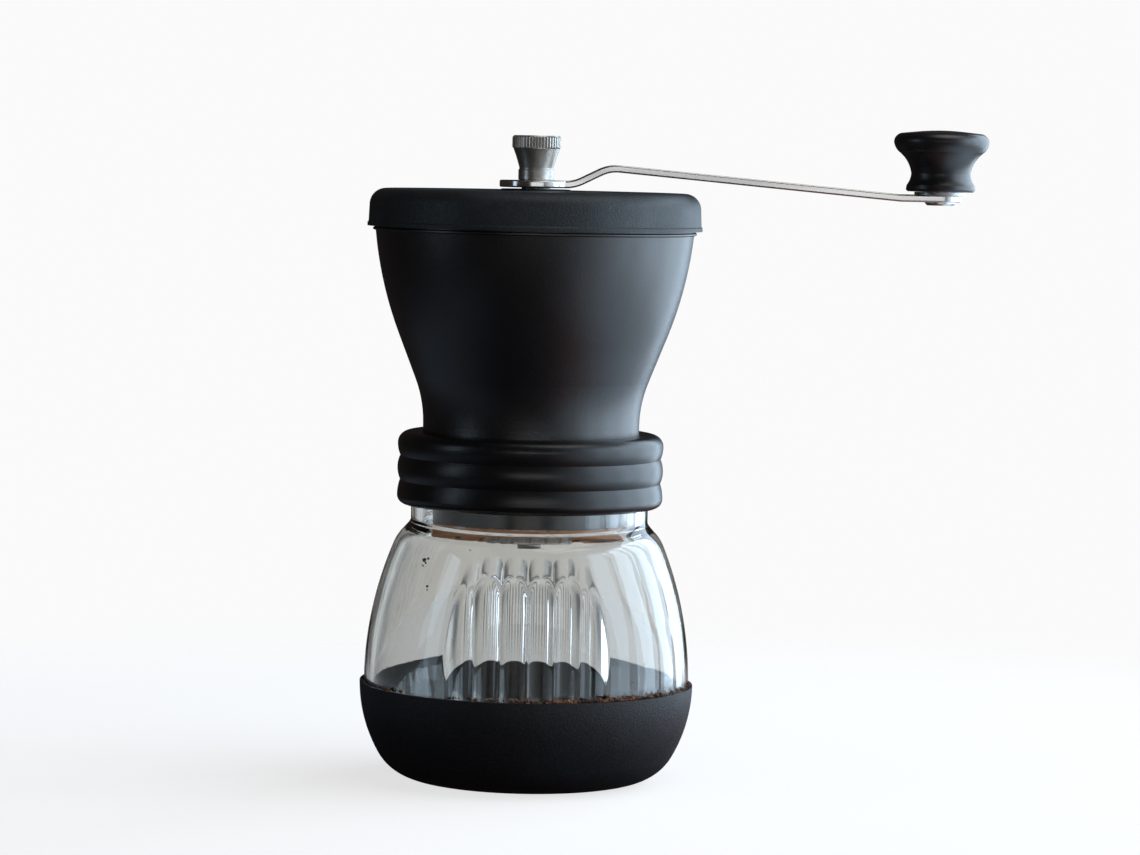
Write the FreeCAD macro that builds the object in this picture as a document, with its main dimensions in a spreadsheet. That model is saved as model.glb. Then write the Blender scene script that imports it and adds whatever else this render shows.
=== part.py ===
import FreeCAD, Part
import math
import os
import re
import Sketcher
from FreeCAD import Rotation, Vector

# Hand crank coffee mill: a glass jar in a rubber boot, a ribbed mill body with a ceramic conical burr set,
# a flared bean hopper, a rubber lid and a bent steel crank with a turning knob.
#
# Millimetres. Z is the crank's axis, z = 0 is the table under the boot, and the crank points along +X.
# All sizes are cells of the sheet "Sizes"; every sketch, primitive and feature reads them by expression.

# name, value, what it is
DIMENSIONS = (
    ("boot_rim_radius", 46.5, "outer radius of the rubber boot at its rim"),
    ("boot_rim_height", 27.0, "height of the boot's rim"),
    ("boot_side_arc", 40.0, "radius of the boot's side in profile"),
    ("boot_corner_arc", 14.0, "radius of the boot's lower corner in profile"),
    ("boot_wall", 1.1, "thickness of the rubber"),
    ("boot_fit", 0.1, "gap between rubber and glass"),
    ("jar_wall", 3.0, "thickness of the glass"),
    ("jar_side_arc", 101.0, "radius of the jar's side in profile"),
    ("jar_shoulder_lean", 22.5, "lean of the jar's side where the shoulder starts, degrees"),
    ("jar_shoulder_arc", 12.0, "radius of the jar's shoulder in profile"),
    ("jar_neck_radius", 33.0, "outer radius of the jar's neck"),
    ("jar_mouth_height", 93.0, "height of the jar's mouth"),
    ("thread_pitch", 5.0, "pitch of the moulded thread on the neck"),
    ("thread_turns", 1.25, "turns of that thread"),
    ("thread_bead", 1.15, "radius of the thread's round section"),
    ("thread_depth", 13.5, "from the jar's mouth down to where the thread starts"),
    ("flute_radius", 6.5, "radius of a grip flute"),
    ("flute_pitch", 10.3, "angle between flutes, degrees"),
    ("flute_crest", 41.15, "radius of the crests between flutes at their top"),
    ("flute_top", 57.3, "height where the crests start"),
    ("flute_lean", 4.0, "lean of the flutes from the vertical, degrees"),
    ("edge_flute_angle", 23.8, "angle of the outermost flutes, degrees"),
    ("grip_inside_radius", 46.0, "radius of the smooth inside of a grip"),
    ("grip_wall", 1.8, "thinnest glass, at the bottom of a flute"),
    ("collar_radius", 37.0, "radius of the ribs' crests"),
    ("collar_bore", 34.6, "bore that takes the jar's neck"),
    ("rib_pitch", 6.75, "height of one of the three ribs"),
    ("rib_groove", 0.75, "depth of the grooves between ribs"),
    ("rib_low_corner", 2.4, "radius of the collar's lower corner"),
    ("rib_top_corner", 3.3, "radius of the collar's upper corner"),
    ("skirt_radius", 27.0, "outer radius of the skirt round the burrs"),
    ("skirt_wall", 2.4, "wall of that skirt"),
    ("skirt_length", 27.5, "from the collar's top down to the skirt's lower edge"),
    ("plate_thickness", 3.0, "plate that joins skirt and collar"),
    ("mouth_gap", 0.8, "gap between that plate and the jar's mouth"),
    ("burr_seat_lip", 2.2, "width of the ledge above the outer burr"),
    ("seat_depth", 4.4, "from the collar's top down to that ledge's underside"),
    ("spigot_height", 4.0, "height of the ring that the hopper sits over"),
    ("spigot_wall", 1.8, "wall of that ring"),
    ("hopper_fit", 0.1, "gap between spigot and hopper"),
    ("bridge_arm_width", 4.5, "width of each of the three bridge arms"),
    ("bridge_arm_height", 6.0, "height of the bridge arms"),
    ("bridge_gap", 1.2, "from the collar's top up to the bridge's underside"),
    ("hub_radius", 8.5, "radius of the bridge's hub"),
    ("hub_height", 10.0, "height of the hub"),
    ("hopper_neck_radius", 30.1, "outer radius of the hopper's neck"),
    ("hopper_wall", 2.0, "wall of the hopper"),
    ("hopper_neck_arc", 34.0, "radius of the hollow curve above the neck"),
    ("hopper_neck_length", 2.2, "straight part of the neck"),
    ("hopper_lean", 21.3, "steepest lean of the hopper's side, degrees"),
    ("hopper_swell_rise", 27.2, "from the hopper's foot up to where its side starts to swell"),
    ("hopper_swell_arc", 108.0, "radius of the swelling side"),
    ("hopper_bead_rise", 55.5, "from the hopper's foot up to the bead under the lid"),
    ("hopper_bead", 0.75, "how far that bead stands out of the side"),
    ("hopper_bead_width", 1.0, "height of the bead's section"),
    ("hopper_rim_step", 0.12, "how far the rim inside the lid stands out of the side"),
    ("hopper_rim", 7.9, "height of the rim above the bead's foot"),
    ("lid_wall", 1.8, "wall of the lid's skirt"),
    ("lid_height", 10.4, "from the lid's lower edge up to its top face"),
    ("lid_crown", 3.8, "from the hopper's rim up to the lid's top face"),
    ("lid_sheet", 2.4, "thickness of the lid's top"),
    ("lid_corner", 4.5, "radius of the lid's top corner"),
    ("lid_draft", 0.5, "how much the lid narrows from rim to corner"),
    ("lid_lip", 1.0, "height of the bead along the lid's rim"),
    ("lid_gap", 0.4, "gap between lid and hopper"),
    ("lid_plug_wall", 1.8, "wall of the ring inside the hopper"),
    ("lid_plug_depth", 5.1, "depth of that ring"),
    ("lid_hole", 5.2, "radius of the hole for the shaft"),
    ("lid_boss_radius", 10.0, "radius of the raised ring round that hole"),
    ("lid_boss_rise", 0.5, "height of the raised ring"),
    ("shaft_radius", 4.0, "radius of the shaft"),
    ("shaft_tail", 7.6, "from the lock ring's seat down to the shaft's end"),
    ("shaft_flat", 3.2, "distance from the axis to each driving flat"),
    ("shaft_hex", 3.0, "distance from the axis to the faces of the hexagon"),
    ("hex_height", 2.4, "height of the hexagon"),
    ("stud_radius", 2.95, "radius of the thread for the top nut"),
    ("stud_length", 9.2, "length of that thread above the hexagon"),
    ("screw_pitch", 1.0, "pitch of the shaft's threads"),
    ("screw_depth", 0.35, "depth of the shaft's threads"),
    ("running_fit", 0.05, "radial clearance of a running fit"),
    ("drive_fit", 0.08, "clearance round a driving flat or hexagon"),
    ("bush_radius", 6.0, "outer radius of the bush in the hub"),
    ("bush_flange_radius", 7.6, "radius of the bush's flange"),
    ("bush_flange", 1.0, "thickness of the bush's flange"),
    ("washer_thickness", 0.8, "thickness of the flat washers"),
    ("washer_radius", 7.2, "radius of the flat washers"),
    ("circlip_radius", 6.4, "outer radius of the shaft's clip"),
    ("circlip_depth", 0.6, "depth of the groove for the clip"),
    ("spring_radius", 5.6, "mean radius of the spring"),
    ("spring_wire", 0.45, "radius of the spring's wire"),
    ("spring_turns", 4.0, "turns of the spring"),
    ("burr_drop", 1.4, "from the outer burr's seat down to the inner burr's top"),
    ("burr_height", 18.4, "height of the inner burr"),
    ("burr_top_radius", 10.5, "mean radius of the inner burr at its top"),
    ("burr_base_radius", 20.6, "mean radius of the inner burr at its base"),
    ("burr_tooth", 0.45, "half depth of the burr teeth"),
    ("burr_recess_radius", 12.5, "radius of the recess under the inner burr"),
    ("burr_recess_depth", 1.2, "depth of that recess"),
    ("burr_twist", 24.0, "turn of the teeth from top to base, degrees"),
    ("ring_height", 18.0, "height of the outer burr"),
    ("ring_gap_top", 7.6, "from the inner burr's cone out to the outer burr's at its mouth"),
    ("ring_gap_base", 1.8, "the same at the outer burr's outlet"),
    ("ring_fit", 0.1, "gap between the outer burr and its seat"),
    ("retainer_height", 3.6, "height of the ring that holds the outer burr"),
    ("retainer_wall", 1.9, "wall of that ring"),
    ("lock_thickness", 1.0, "thickness of the lock ring"),
    ("lock_radius", 10.6, "radius of the lock ring"),
    ("adjuster_radius", 12.0, "radius of the adjusting nut"),
    ("adjuster_height", 4.6, "height of the adjusting nut"),
    ("adjuster_gap", 0.1, "gap above the adjusting nut"),
    ("arm_thickness", 2.0, "thickness of the crank's steel strip"),
    ("arm_width", 12.0, "width of the strip"),
    ("arm_hub_radius", 10.1, "radius of the strip's round end on the shaft"),
    ("arm_gap", 0.4, "gap between the strip and the lid's raised ring"),
    ("arm_ramp_start", 10.6, "distance from the axis where the strip starts to rise"),
    ("arm_ramp_angle", 26.5, "slope of the rise, degrees"),
    ("arm_crest", 20.3, "distance from the axis of the crest"),
    ("arm_droop_angle", 4.7, "slope down from the crest, degrees"),
    ("arm_level_start", 101.0, "distance from the axis where the strip is level again"),
    ("arm_bend", 9.0, "inner radius of the strip's bends"),
    ("arm_edge", 0.45, "rounding of the strip's edges"),
    ("knob_reach", 112.3, "distance from the axis to the knob's pin"),
    ("knob_radius", 13.2, "largest radius of the knob"),
    ("knob_foot_radius", 9.6, "radius of the knob's foot"),
    ("knob_waist_radius", 8.2, "radius of the knob's waist"),
    ("knob_height", 17.9, "from the strip's top up to the knob's top"),
    ("knob_crown", 0.8, "rise of the knob's crown"),
    ("knob_well_radius", 6.4, "radius of the well under the knob's cap"),
    ("knob_well_depth", 5.0, "depth of that well"),
    ("pin_radius", 3.2, "radius of the knob's pin"),
    ("pin_rivet_radius", 2.5, "radius of the pin in the strip"),
    ("pin_head_radius", 5.4, "radius of the pin's head"),
    ("pin_head", 1.2, "thickness of the pin's head"),
    ("pin_foot_radius", 4.2, "radius of the riveted foot"),
    ("cap_thickness", 1.8, "thickness of the knob's cap"),
    ("nut_height", 12.4, "height of the crank's nut"),
    ("nut_knurl_radius", 6.8, "radius of the nut's knurled band"),
    ("nut_knurl_height", 3.6, "height of the knurled band"),
    ("nut_cone_height", 5.4, "height of the nut's hollow cone"),
    ("nut_cone_arc", 45.0, "radius of the cone's hollow profile"),
    ("nut_neck_radius", 4.95, "radius of the nut's neck"),
    ("nut_edge", 0.5, "chamfer of the nut's top edge"),
    ("nut_roof", 1.6, "thickness above the nut's blind thread"),
    ("knurl_depth", 0.35, "depth of the knurl"),
)
KNURLS = 48
BURR_TEETH = 20
RING_TEETH = 24
ADJUSTER_NOTCHES = 16
LOCK_TABS = 3
BRIDGE_ARMS = 3
INNER_FLUTES = (-1.5, -0.5, 0.5, 1.5)  # in pitches from the middle of a grip

# heights that follow from the sizes above, from the jar up
COLLAR_TOP = "(jar_mouth_height + mouth_gap + plate_thickness)"
COLLAR_BOTTOM = f"({COLLAR_TOP} - 3 * rib_pitch)"
SKIRT_BOTTOM = f"({COLLAR_TOP} - skirt_length)"
SEAT = f"({COLLAR_TOP} - seat_depth)"
BURR_TOP = f"({SEAT} - burr_drop)"
BURR_BASE = f"({BURR_TOP} - burr_height)"
RECESS_TOP = f"({BURR_BASE} + burr_recess_depth)"
RING_BOTTOM = f"({SEAT} - ring_height)"
CONE_SLOPE = "((burr_base_radius - burr_top_radius) / burr_height)"
RING_BASE_RADIUS = f"(burr_base_radius - ({RING_BOTTOM} - {BURR_BASE}) * {CONE_SLOPE} + ring_gap_base)"
RING_TOP_RADIUS = f"(burr_top_radius - ({SEAT} - {BURR_TOP}) * {CONE_SLOPE} + ring_gap_top)"
SHAFT_BOTTOM = f"({RECESS_TOP} - shaft_tail)"
BRIDGE_BOTTOM = f"({COLLAR_TOP} + bridge_gap)"
HUB_TOP = f"({BRIDGE_BOTTOM} + hub_height)"
BEAD_BOTTOM = f"({COLLAR_TOP} + hopper_bead_rise)"
RIM_TOP = f"({BEAD_BOTTOM} + hopper_rim)"
LID_TOP = f"({RIM_TOP} + lid_crown)"
LID_BOTTOM = f"({LID_TOP} - lid_height)"
ARM_SEAT = f"({LID_TOP} + lid_boss_rise + arm_gap)"
HEX_TOP = f"({ARM_SEAT} + hex_height)"
STUD_TOP = f"({HEX_TOP} + stud_length)"
NUT_BOTTOM = f"({ARM_SEAT} + arm_thickness)"
NUT_TOP = f"({NUT_BOTTOM} + nut_height)"

# the hopper's profile, from its neck up, and the lid's radius round it
NECK_TOP = f"({COLLAR_TOP} + hopper_neck_length)"
BEND_RADIUS = "(hopper_neck_radius + hopper_neck_arc * (1 - cos(hopper_lean)))"
BEND_HEIGHT = f"({NECK_TOP} + hopper_neck_arc * sin(hopper_lean))"
SWELL_HEIGHT = f"({COLLAR_TOP} + hopper_swell_rise)"
SWELL_RADIUS = f"({BEND_RADIUS} + ({SWELL_HEIGHT} - {BEND_HEIGHT}) * tan(hopper_lean))"
SWELL_CENTRE_RADIUS = f"({SWELL_RADIUS} - hopper_swell_arc * cos(hopper_lean))"
SWELL_CENTRE_DROP = f"({BEAD_BOTTOM} - {SWELL_HEIGHT} - hopper_swell_arc * sin(hopper_lean))"
SIDE_RADIUS = f"({SWELL_CENTRE_RADIUS} + sqrt(hopper_swell_arc^2 - {SWELL_CENTRE_DROP}^2))"
RIM_RADIUS = f"({SIDE_RADIUS} + hopper_rim_step)"
LID_RADIUS = f"({RIM_RADIUS} + lid_gap + lid_wall)"

doc = FreeCAD.newDocument("CoffeeMill")
sheet = doc.addObject("Spreadsheet::Sheet", "Sizes")
for row, (name, value, words) in enumerate(DIMENSIONS, start=1):
    sheet.set(f"A{row}", str(value))
    sheet.setAlias(f"A{row}", name)
    sheet.set(f"B{row}", words)
doc.recompute()

NAMES = {name for name, value, words in DIMENSIONS}
PIECES = []  # the objects that are written out, in order


def size(text):
    """The value of an expression in the sheet's names."""
    return float(sheet.evalExpression(text))


def bound(text):
    """The same expression, as an object outside the sheet has to write it."""
    return re.sub(r"[a-z_]+", lambda m: "Sizes." + m.group() if m.group() in NAMES else m.group(), text)


def bind(thing, **expressions):
    """Binds properties of a document object; Base_x and so on stand for its placement."""
    for name, text in expressions.items():
        path = f"Placement.Base.{name[-1]}" if name.startswith("Base_") else name
        thing.setExpression(path, bound(text))
    return thing


def add(kind, name, **expressions):
    """Adds a Part object whose sizes are expressions."""
    return bind(doc.addObject("Part::" + kind, name), **expressions)


def piece(thing, label):
    """Marks an object as a real piece with its own node."""
    thing.Label = label
    PIECES.append(thing)
    return thing


# ---------------------------------------------------------------- sketches and bodies


def new_sketch(body, name, plane="XZ_Plane", lift=None):
    """A sketch on one of the body's own planes, lifted off it by an expression if one is given."""
    sketch = body.newObject("Sketcher::SketchObject", name)
    support = [f for f in body.Origin.OriginFeatures if f.Role == plane][0]
    sketch.AttachmentSupport = [(support, "")]
    sketch.MapMode = "FlatFace"
    if lift is not None:
        sketch.setExpression("AttachmentOffset.Base.z", bound(lift))
    return sketch


def arc_between(start, end, radius, side):
    """The short arc from start to end whose centre is on the left or right of the way travelled."""
    chord = end - start
    left = Vector(-chord.y, chord.x, 0) / chord.Length * (1 if side == "left" else -1)
    inset = math.sqrt(max(radius**2 - (chord.Length / 2) ** 2, 0.0))
    middle = (start + end) / 2 - left * (radius - inset)
    return Part.Arc(start, middle, end) if side == "left" else Part.Arc(end, middle, start)


def outline(sketch, corners):
    """Draws a closed outline. A corner is (x, y), or (x, y, radius, side) where an arc leads on from it.
    All four are expressions, and each corner and radius is constrained to its own."""
    places = [Vector(size(c[0]), size(c[1]), 0) for c in corners]
    edges = []
    for number, corner in enumerate(corners):
        start, end = places[number], places[(number + 1) % len(places)]
        if len(corner) == 4:
            radius, side = corner[2], corner[3]
            shape = sketch.addGeometry(arc_between(start, end, size(radius), side))
            edges.append((shape, 1, 2) if side == "left" else (shape, 2, 1))
            limit(sketch, radius, "Radius", shape)
        else:
            edges.append((sketch.addGeometry(Part.LineSegment(start, end)), 1, 2))
    for number, (shape, first, last) in enumerate(edges):
        after, after_first, after_last = edges[(number + 1) % len(edges)]
        sketch.addConstraint(Sketcher.Constraint("Coincident", shape, last, after, after_first))
        limit(sketch, corners[number][0], "DistanceX", -1, 1, shape, first)
        limit(sketch, corners[number][1], "DistanceY", -1, 1, shape, first)


def ring_outline(sketch, radius, x="0"):
    """Draws a circle on the x axis."""
    shape = sketch.addGeometry(Part.Circle(Vector(size(x), 0, 0), Vector(0, 0, 1), size(radius)))
    limit(sketch, radius, "Radius", shape)
    limit(sketch, x, "DistanceX", -1, 1, shape, 3)
    limit(sketch, "0", "DistanceY", -1, 1, shape, 3)


def limit(sketch, text, kind, *where):
    """Adds a dimension to a sketch and binds it to an expression."""
    number = sketch.addConstraint(Sketcher.Constraint(kind, *where, size(text)))
    if re.search("[a-z]", text):
        sketch.setExpression(f"Constraints[{number}]", bound(text))


def turned(name, corners, x=None, z=None):
    """A body turned about its own Z axis from a half profile of (radius, height) corners."""
    body = doc.addObject("PartDesign::Body", name)
    sketch = new_sketch(body, name + "_profile")
    outline(sketch, corners)
    turn = body.newObject("PartDesign::Revolution", name + "_turn")
    turn.Profile = sketch
    turn.ReferenceAxis = (sketch, ["V_Axis"])
    turn.Angle = 360
    if x is not None:
        bind(body, Base_x=x)
    if z is not None:
        bind(body, Base_z=z)
    return body


def padded(body, name, lift, height, draw):
    """Pads a sketch on a lifted XY plane upwards; draw(sketch) draws it."""
    sketch = new_sketch(body, name + "_sketch", "XY_Plane", lift)
    draw(sketch)
    pad = body.newObject("PartDesign::Pad", name)
    pad.Profile = sketch
    bind(pad, Length=height)
    return pad


def pocketed(body, name, lift, height, draw):
    """Cuts a sketch on a lifted XY plane out of the body, upwards."""
    sketch = new_sketch(body, name + "_sketch", "XY_Plane", lift)
    draw(sketch)
    pocket = body.newObject("PartDesign::Pocket", name)
    pocket.Profile = sketch
    pocket.Reversed = True
    bind(pocket, Length=height)
    return pocket


def patterned(body, name, feature, count):
    """Repeats a feature round the body's Z axis."""
    pattern = body.newObject("PartDesign::PolarPattern", name)
    pattern.Originals = [feature]
    axis = [f for f in body.Origin.OriginFeatures if f.Role == "Z_Axis"][0]
    pattern.Axis = (axis, [""])
    pattern.Angle = 360
    pattern.Occurrences = count
    body.Tip = pattern
    return pattern


def notches(body, name, lift, height, radius, depth, half_width, count):
    """Cuts V notches into a round body: depth deep and half_width to each side at the radius."""
    corners = [
        (f"{radius} - ({depth})", "0"),
        (f"{radius} + ({depth})", f"-2 * ({half_width})"),
        (f"{radius} + ({depth})", f"2 * ({half_width})"),
    ]
    cut = pocketed(body, name, lift, height, lambda sketch: outline(sketch, corners))
    patterned(body, name + "_pattern", cut, count)


def cut(name, base, tool):
    """Part::Cut of two objects."""
    made = doc.addObject("Part::Cut", name)
    made.Base = base
    made.Tool = tool
    return made


def fused(name, *things):
    """Part::MultiFuse of several objects."""
    made = doc.addObject("Part::MultiFuse", name)
    made.Shapes = list(things)
    return made


def common(name, *things):
    """Part::MultiCommon of several objects."""
    made = doc.addObject("Part::MultiCommon", name)
    made.Shapes = list(things)
    return made


def coil(name, radius, pitch, height, wire, z):
    """A round wire swept along a helix about Z that starts at height z."""
    helix = add("Helix", name + "_path", Radius=radius, Pitch=pitch, Height=height, Base_z=z)
    helix.SegmentLength = 0.5
    section = add("Circle", name + "_section", Radius=wire, Base_x=radius, Base_z=z)
    section.Placement.Rotation = Rotation(Vector(1, 0, 0), 90)
    sweep = doc.addObject("Part::Sweep", name)
    doc.recompute()
    sweep.Sections = [section]
    sweep.Spine = (helix, [f"Edge{number + 1}" for number in range(len(helix.Shape.Edges))])
    sweep.Solid = True
    sweep.Frenet = True
    return sweep


def star(radius, tooth, teeth, z, turn=0.0):
    """A closed zigzag wire of that many teeth, about a mean radius."""
    points = []
    for number in range(2 * teeth):
        angle = math.radians(turn) + math.pi * number / teeth
        reach = radius + tooth * (1 if number % 2 else -1)
        points.append(Vector(reach * math.cos(angle), reach * math.sin(angle), z))
    return Part.makePolygon(points + points[:1])


# ---------------------------------------------------------------- boot and jar


def boot_profile(inset):
    """The boot's half profile, moved inwards by an expression: from the axis out and up to the rim."""
    centre_r = "(boot_rim_radius - boot_side_arc)"
    reach = "(boot_side_arc - boot_corner_arc)"
    drop = "(boot_rim_height - boot_corner_arc)"
    corner_r = f"({centre_r} + sqrt({reach}^2 - {drop}^2))"
    meet_r = f"({corner_r} + (boot_corner_arc - ({inset})) * sqrt({reach}^2 - {drop}^2) / {reach})"
    meet_z = f"(boot_corner_arc - (boot_corner_arc - ({inset})) * {drop} / {reach})"
    return [
        ("0", inset),
        (corner_r, inset, f"boot_corner_arc - ({inset})", "left"),
        (meet_r, meet_z, f"boot_side_arc - ({inset})", "left"),
        (f"boot_rim_radius - ({inset})", "boot_rim_height"),
    ]


def backwards(corners):
    """The same outline travelled the other way, so that each arc leads on from its far end."""
    arcs = [corner[2:] for corner in corners]
    flipped = []
    for number in range(len(corners) - 1, -1, -1):
        arc = arcs[number - 1] if number else ()
        side = {"left": "right", "right": "left"}
        flipped.append(corners[number][:2] + ((arc[0], side[arc[1]]) if arc else ()))
    return flipped


def make_boot():
    """Rubber boot: an even wall round the foot of the jar, flat underneath."""
    body = turned("boot", boot_profile("0") + backwards(boot_profile("boot_wall")))
    return piece(body, "base_boot")


def jar_profile(inset):
    """The jar's half profile, moved inwards by an expression: from the axis out, up and to the mouth."""
    skin = f"(boot_wall + boot_fit + ({inset}))"
    centre_r = "(boot_rim_radius - boot_wall - boot_fit - jar_side_arc)"
    reach = "(jar_side_arc - jar_shoulder_arc)"
    shoulder_r = f"({centre_r} + {reach} * cos(jar_shoulder_lean))"
    shoulder_z = f"(boot_rim_height + {reach} * sin(jar_shoulder_lean))"
    meet_r = f"({centre_r} + (jar_side_arc - ({inset})) * cos(jar_shoulder_lean))"
    meet_z = f"(boot_rim_height + (jar_side_arc - ({inset})) * sin(jar_shoulder_lean))"
    neck_r = f"(jar_neck_radius - ({inset}))"
    arc = f"(jar_shoulder_arc - ({inset}))"
    neck_z = f"({shoulder_z} + sqrt({arc}^2 - ({neck_r} - {shoulder_r})^2))"
    lower = boot_profile(skin)
    rim = lower[-1]
    return lower[:-1] + [
        (rim[0], rim[1], f"jar_side_arc - ({inset})", "left"),
        (meet_r, meet_z, arc, "left"),
        (neck_r, neck_z),
    ]


# distance from the axis to the middle of an inner flute and of an outermost one, at the flutes' top
FLUTE_HALF = "(flute_crest * sin(flute_pitch / 2))"
FLUTE_REACH = f"(flute_crest * cos(flute_pitch / 2) + sqrt(flute_radius^2 - {FLUTE_HALF}^2))"
EDGE_STEP = "(edge_flute_angle - 2 * flute_pitch)"
EDGE_HALF = f"(flute_crest * sin{EDGE_STEP})"
EDGE_REACH = f"(flute_crest * cos{EDGE_STEP} + sqrt(flute_radius^2 - {EDGE_HALF}^2))"


def leaning_cylinder(name, side, radius, x, y):
    """An upright cylinder on one side of the jar that leans outwards as it goes down.
    x and y are its middle at the flutes' top."""
    cylinder = add(
        "Cylinder",
        f"{name}_{'front' if side < 0 else 'back'}",
        Radius=radius,
        Height="(jar_mouth_height + 10) / cos(flute_lean)",
        Base_x=x,
        Base_y=f"{side} * ({y} + flute_top * tan(flute_lean))",
    )
    cylinder.Placement.Rotation = Rotation(Vector(1, 0, 0), side * size("flute_lean"))
    return cylinder


def flute_cutters():
    """The round cutters of both grips as one tool."""
    lines = [(FLUTE_REACH, f"({step} * flute_pitch)") for step in INNER_FLUTES]
    lines += [(EDGE_REACH, "(edge_flute_angle)"), (EDGE_REACH, "(-1 * edge_flute_angle)")]
    cutters = [
        leaning_cylinder(
            f"flute_{number}", side, "flute_radius", f"{reach} * sin{angle}", f"{reach} * cos{angle}"
        )
        for side in (-1, 1)
        for number, (reach, angle) in enumerate(lines)
    ]
    return fused("flutes", *cutters)


def make_jar():
    """Glass jar: even wall, two opposite fluted grips and a moulded thread round the neck."""
    mouth = "jar_mouth_height"
    lip = "(jar_wall / 3)"
    outer_neck = [
        ("jar_neck_radius", f"{mouth} - {lip}", lip, "left"),
        (f"jar_neck_radius - {lip}", mouth),
        ("0", mouth),
    ]
    solid = turned("jar_solid", jar_profile("0") + outer_neck)
    hollow_neck = [("jar_neck_radius - jar_wall", f"{mouth} + 1"), ("0", f"{mouth} + 1")]
    hollow = turned("jar_hollow", jar_profile("jar_wall") + hollow_neck)
    thread = coil(
        "jar_thread",
        "jar_neck_radius - thread_bead * 0.15",
        "thread_pitch",
        "thread_pitch * thread_turns",
        "thread_bead",
        "jar_mouth_height - thread_depth",
    )
    threaded = fused("jar_threaded", cut("jar_skin", solid, flute_cutters()), thread)
    middle = f"({FLUTE_REACH} - flute_radius - grip_wall - grip_inside_radius)"
    insides = [leaning_cylinder("grip_inside", side, "grip_inside_radius", "0", middle) for side in (-1, 1)]
    cavity = common("jar_cavity", hollow, *insides)
    return piece(cut("jar", threaded, cavity), "glass_jar")


# ---------------------------------------------------------------- mill body and hopper


def make_mill_body():
    """Ribbed collar, skirt for the burrs and a three-arm bridge with a hub, moulded in one."""
    corner = "rib_low_corner"
    crest_low = f"({COLLAR_BOTTOM} + {corner})"
    valley = "(collar_radius - rib_groove)"
    top = COLLAR_TOP
    crest_top = f"({top} - rib_top_corner)"
    low_arc = f"((rib_pitch - {corner})^2 + rib_groove^2) / (2 * rib_groove)"
    mid_arc = "((rib_pitch / 2)^2 + rib_groove^2) / (2 * rib_groove)"
    top_arc = "((rib_pitch - rib_top_corner)^2 + rib_groove^2) / (2 * rib_groove)"
    spigot_r = "(hopper_neck_radius - hopper_wall - hopper_fit)"
    spigot_in = f"({spigot_r} - spigot_wall)"
    spigot_top = f"({top} + spigot_height)"
    skirt_in = "(skirt_radius - skirt_wall)"
    mouth = f"({skirt_in} - burr_seat_lip)"
    roof = f"({top} - plate_thickness)"
    edge = f"(collar_radius - {corner})"
    body = turned(
        "mill",
        [
            ("collar_bore", COLLAR_BOTTOM),
            (f"{edge} + 0.2", COLLAR_BOTTOM, corner, "left"),
            ("collar_radius", crest_low, low_arc, "left"),
            (valley, f"{COLLAR_BOTTOM} + rib_pitch", mid_arc, "left"),
            (valley, f"{COLLAR_BOTTOM} + 2 * rib_pitch", top_arc, "left"),
            ("collar_radius", crest_top, "rib_top_corner", "left"),
            ("collar_radius - rib_top_corner", top),
            (spigot_r, top),
            (spigot_r, spigot_top),
            (spigot_in, spigot_top),
            (spigot_in, f"{top} + 0.7"),
            (mouth, f"{SEAT} + 1.8"),
            (mouth, SEAT),
            (skirt_in, SEAT),
            (skirt_in, SKIRT_BOTTOM),
            ("skirt_radius", SKIRT_BOTTOM),
            ("skirt_radius", roof),
            ("collar_bore", roof),
        ],
    )
    arm_end = f"({spigot_in} + spigot_wall / 2)"
    arm = [
        ("0", "-bridge_arm_width / 2"),
        (arm_end, "-bridge_arm_width / 2"),
        (arm_end, "bridge_arm_width / 2"),
        ("0", "bridge_arm_width / 2"),
    ]
    # one arm reaches from the spigot to the axis, and the pattern joins all of them there
    first = padded(body, "bridge_arm", BRIDGE_BOTTOM, "bridge_arm_height", lambda s: outline(s, arm))
    patterned(body, "bridge_arms", first, BRIDGE_ARMS)
    padded(body, "hub", BRIDGE_BOTTOM, "hub_height", lambda s: ring_outline(s, "hub_radius"))
    bore = pocketed(
        body, "hub_bore", f"{BRIDGE_BOTTOM} - 1", "hub_height + 2", lambda s: ring_outline(s, "bush_radius")
    )
    body.Tip = bore
    return piece(body, "mill_body")


def make_hopper():
    """Flared hopper: a hollow curve above the neck, a straight lean, then a swelling side up to the bead."""
    inner_top = f"({SWELL_CENTRE_RADIUS} + sqrt((hopper_swell_arc - hopper_wall)^2 - {SWELL_CENTRE_DROP}^2))"
    wall_r = "hopper_wall * cos(hopper_lean)"
    wall_z = "hopper_wall * sin(hopper_lean)"
    bead = f"({SIDE_RADIUS} + hopper_bead)"
    bead_top = f"({BEAD_BOTTOM} + hopper_bead_width)"
    body = turned(
        "hopper",
        [
            ("hopper_neck_radius - hopper_wall", COLLAR_TOP),
            ("hopper_neck_radius", COLLAR_TOP),
            ("hopper_neck_radius", NECK_TOP, "hopper_neck_arc", "right"),
            (BEND_RADIUS, BEND_HEIGHT),
            (SWELL_RADIUS, SWELL_HEIGHT, "hopper_swell_arc", "left"),
            (SIDE_RADIUS, BEAD_BOTTOM),
            (bead, f"{BEAD_BOTTOM} + 0.3"),
            (bead, f"{bead_top} - 0.3"),
            (f"{bead} - 0.3", bead_top),
            (RIM_RADIUS, bead_top),
            (RIM_RADIUS, RIM_TOP),
            (f"{RIM_RADIUS} - hopper_wall", RIM_TOP),
            (inner_top, BEAD_BOTTOM, "hopper_swell_arc - hopper_wall", "right"),
            (f"{SWELL_RADIUS} - {wall_r}", f"{SWELL_HEIGHT} + {wall_z}"),
            (
                f"{BEND_RADIUS} - {wall_r}",
                f"{BEND_HEIGHT} + {wall_z}",
                "hopper_neck_arc + hopper_wall",
                "left",
            ),
            ("hopper_neck_radius - hopper_wall", NECK_TOP),
        ],
    )
    return piece(body, "hopper")


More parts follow.
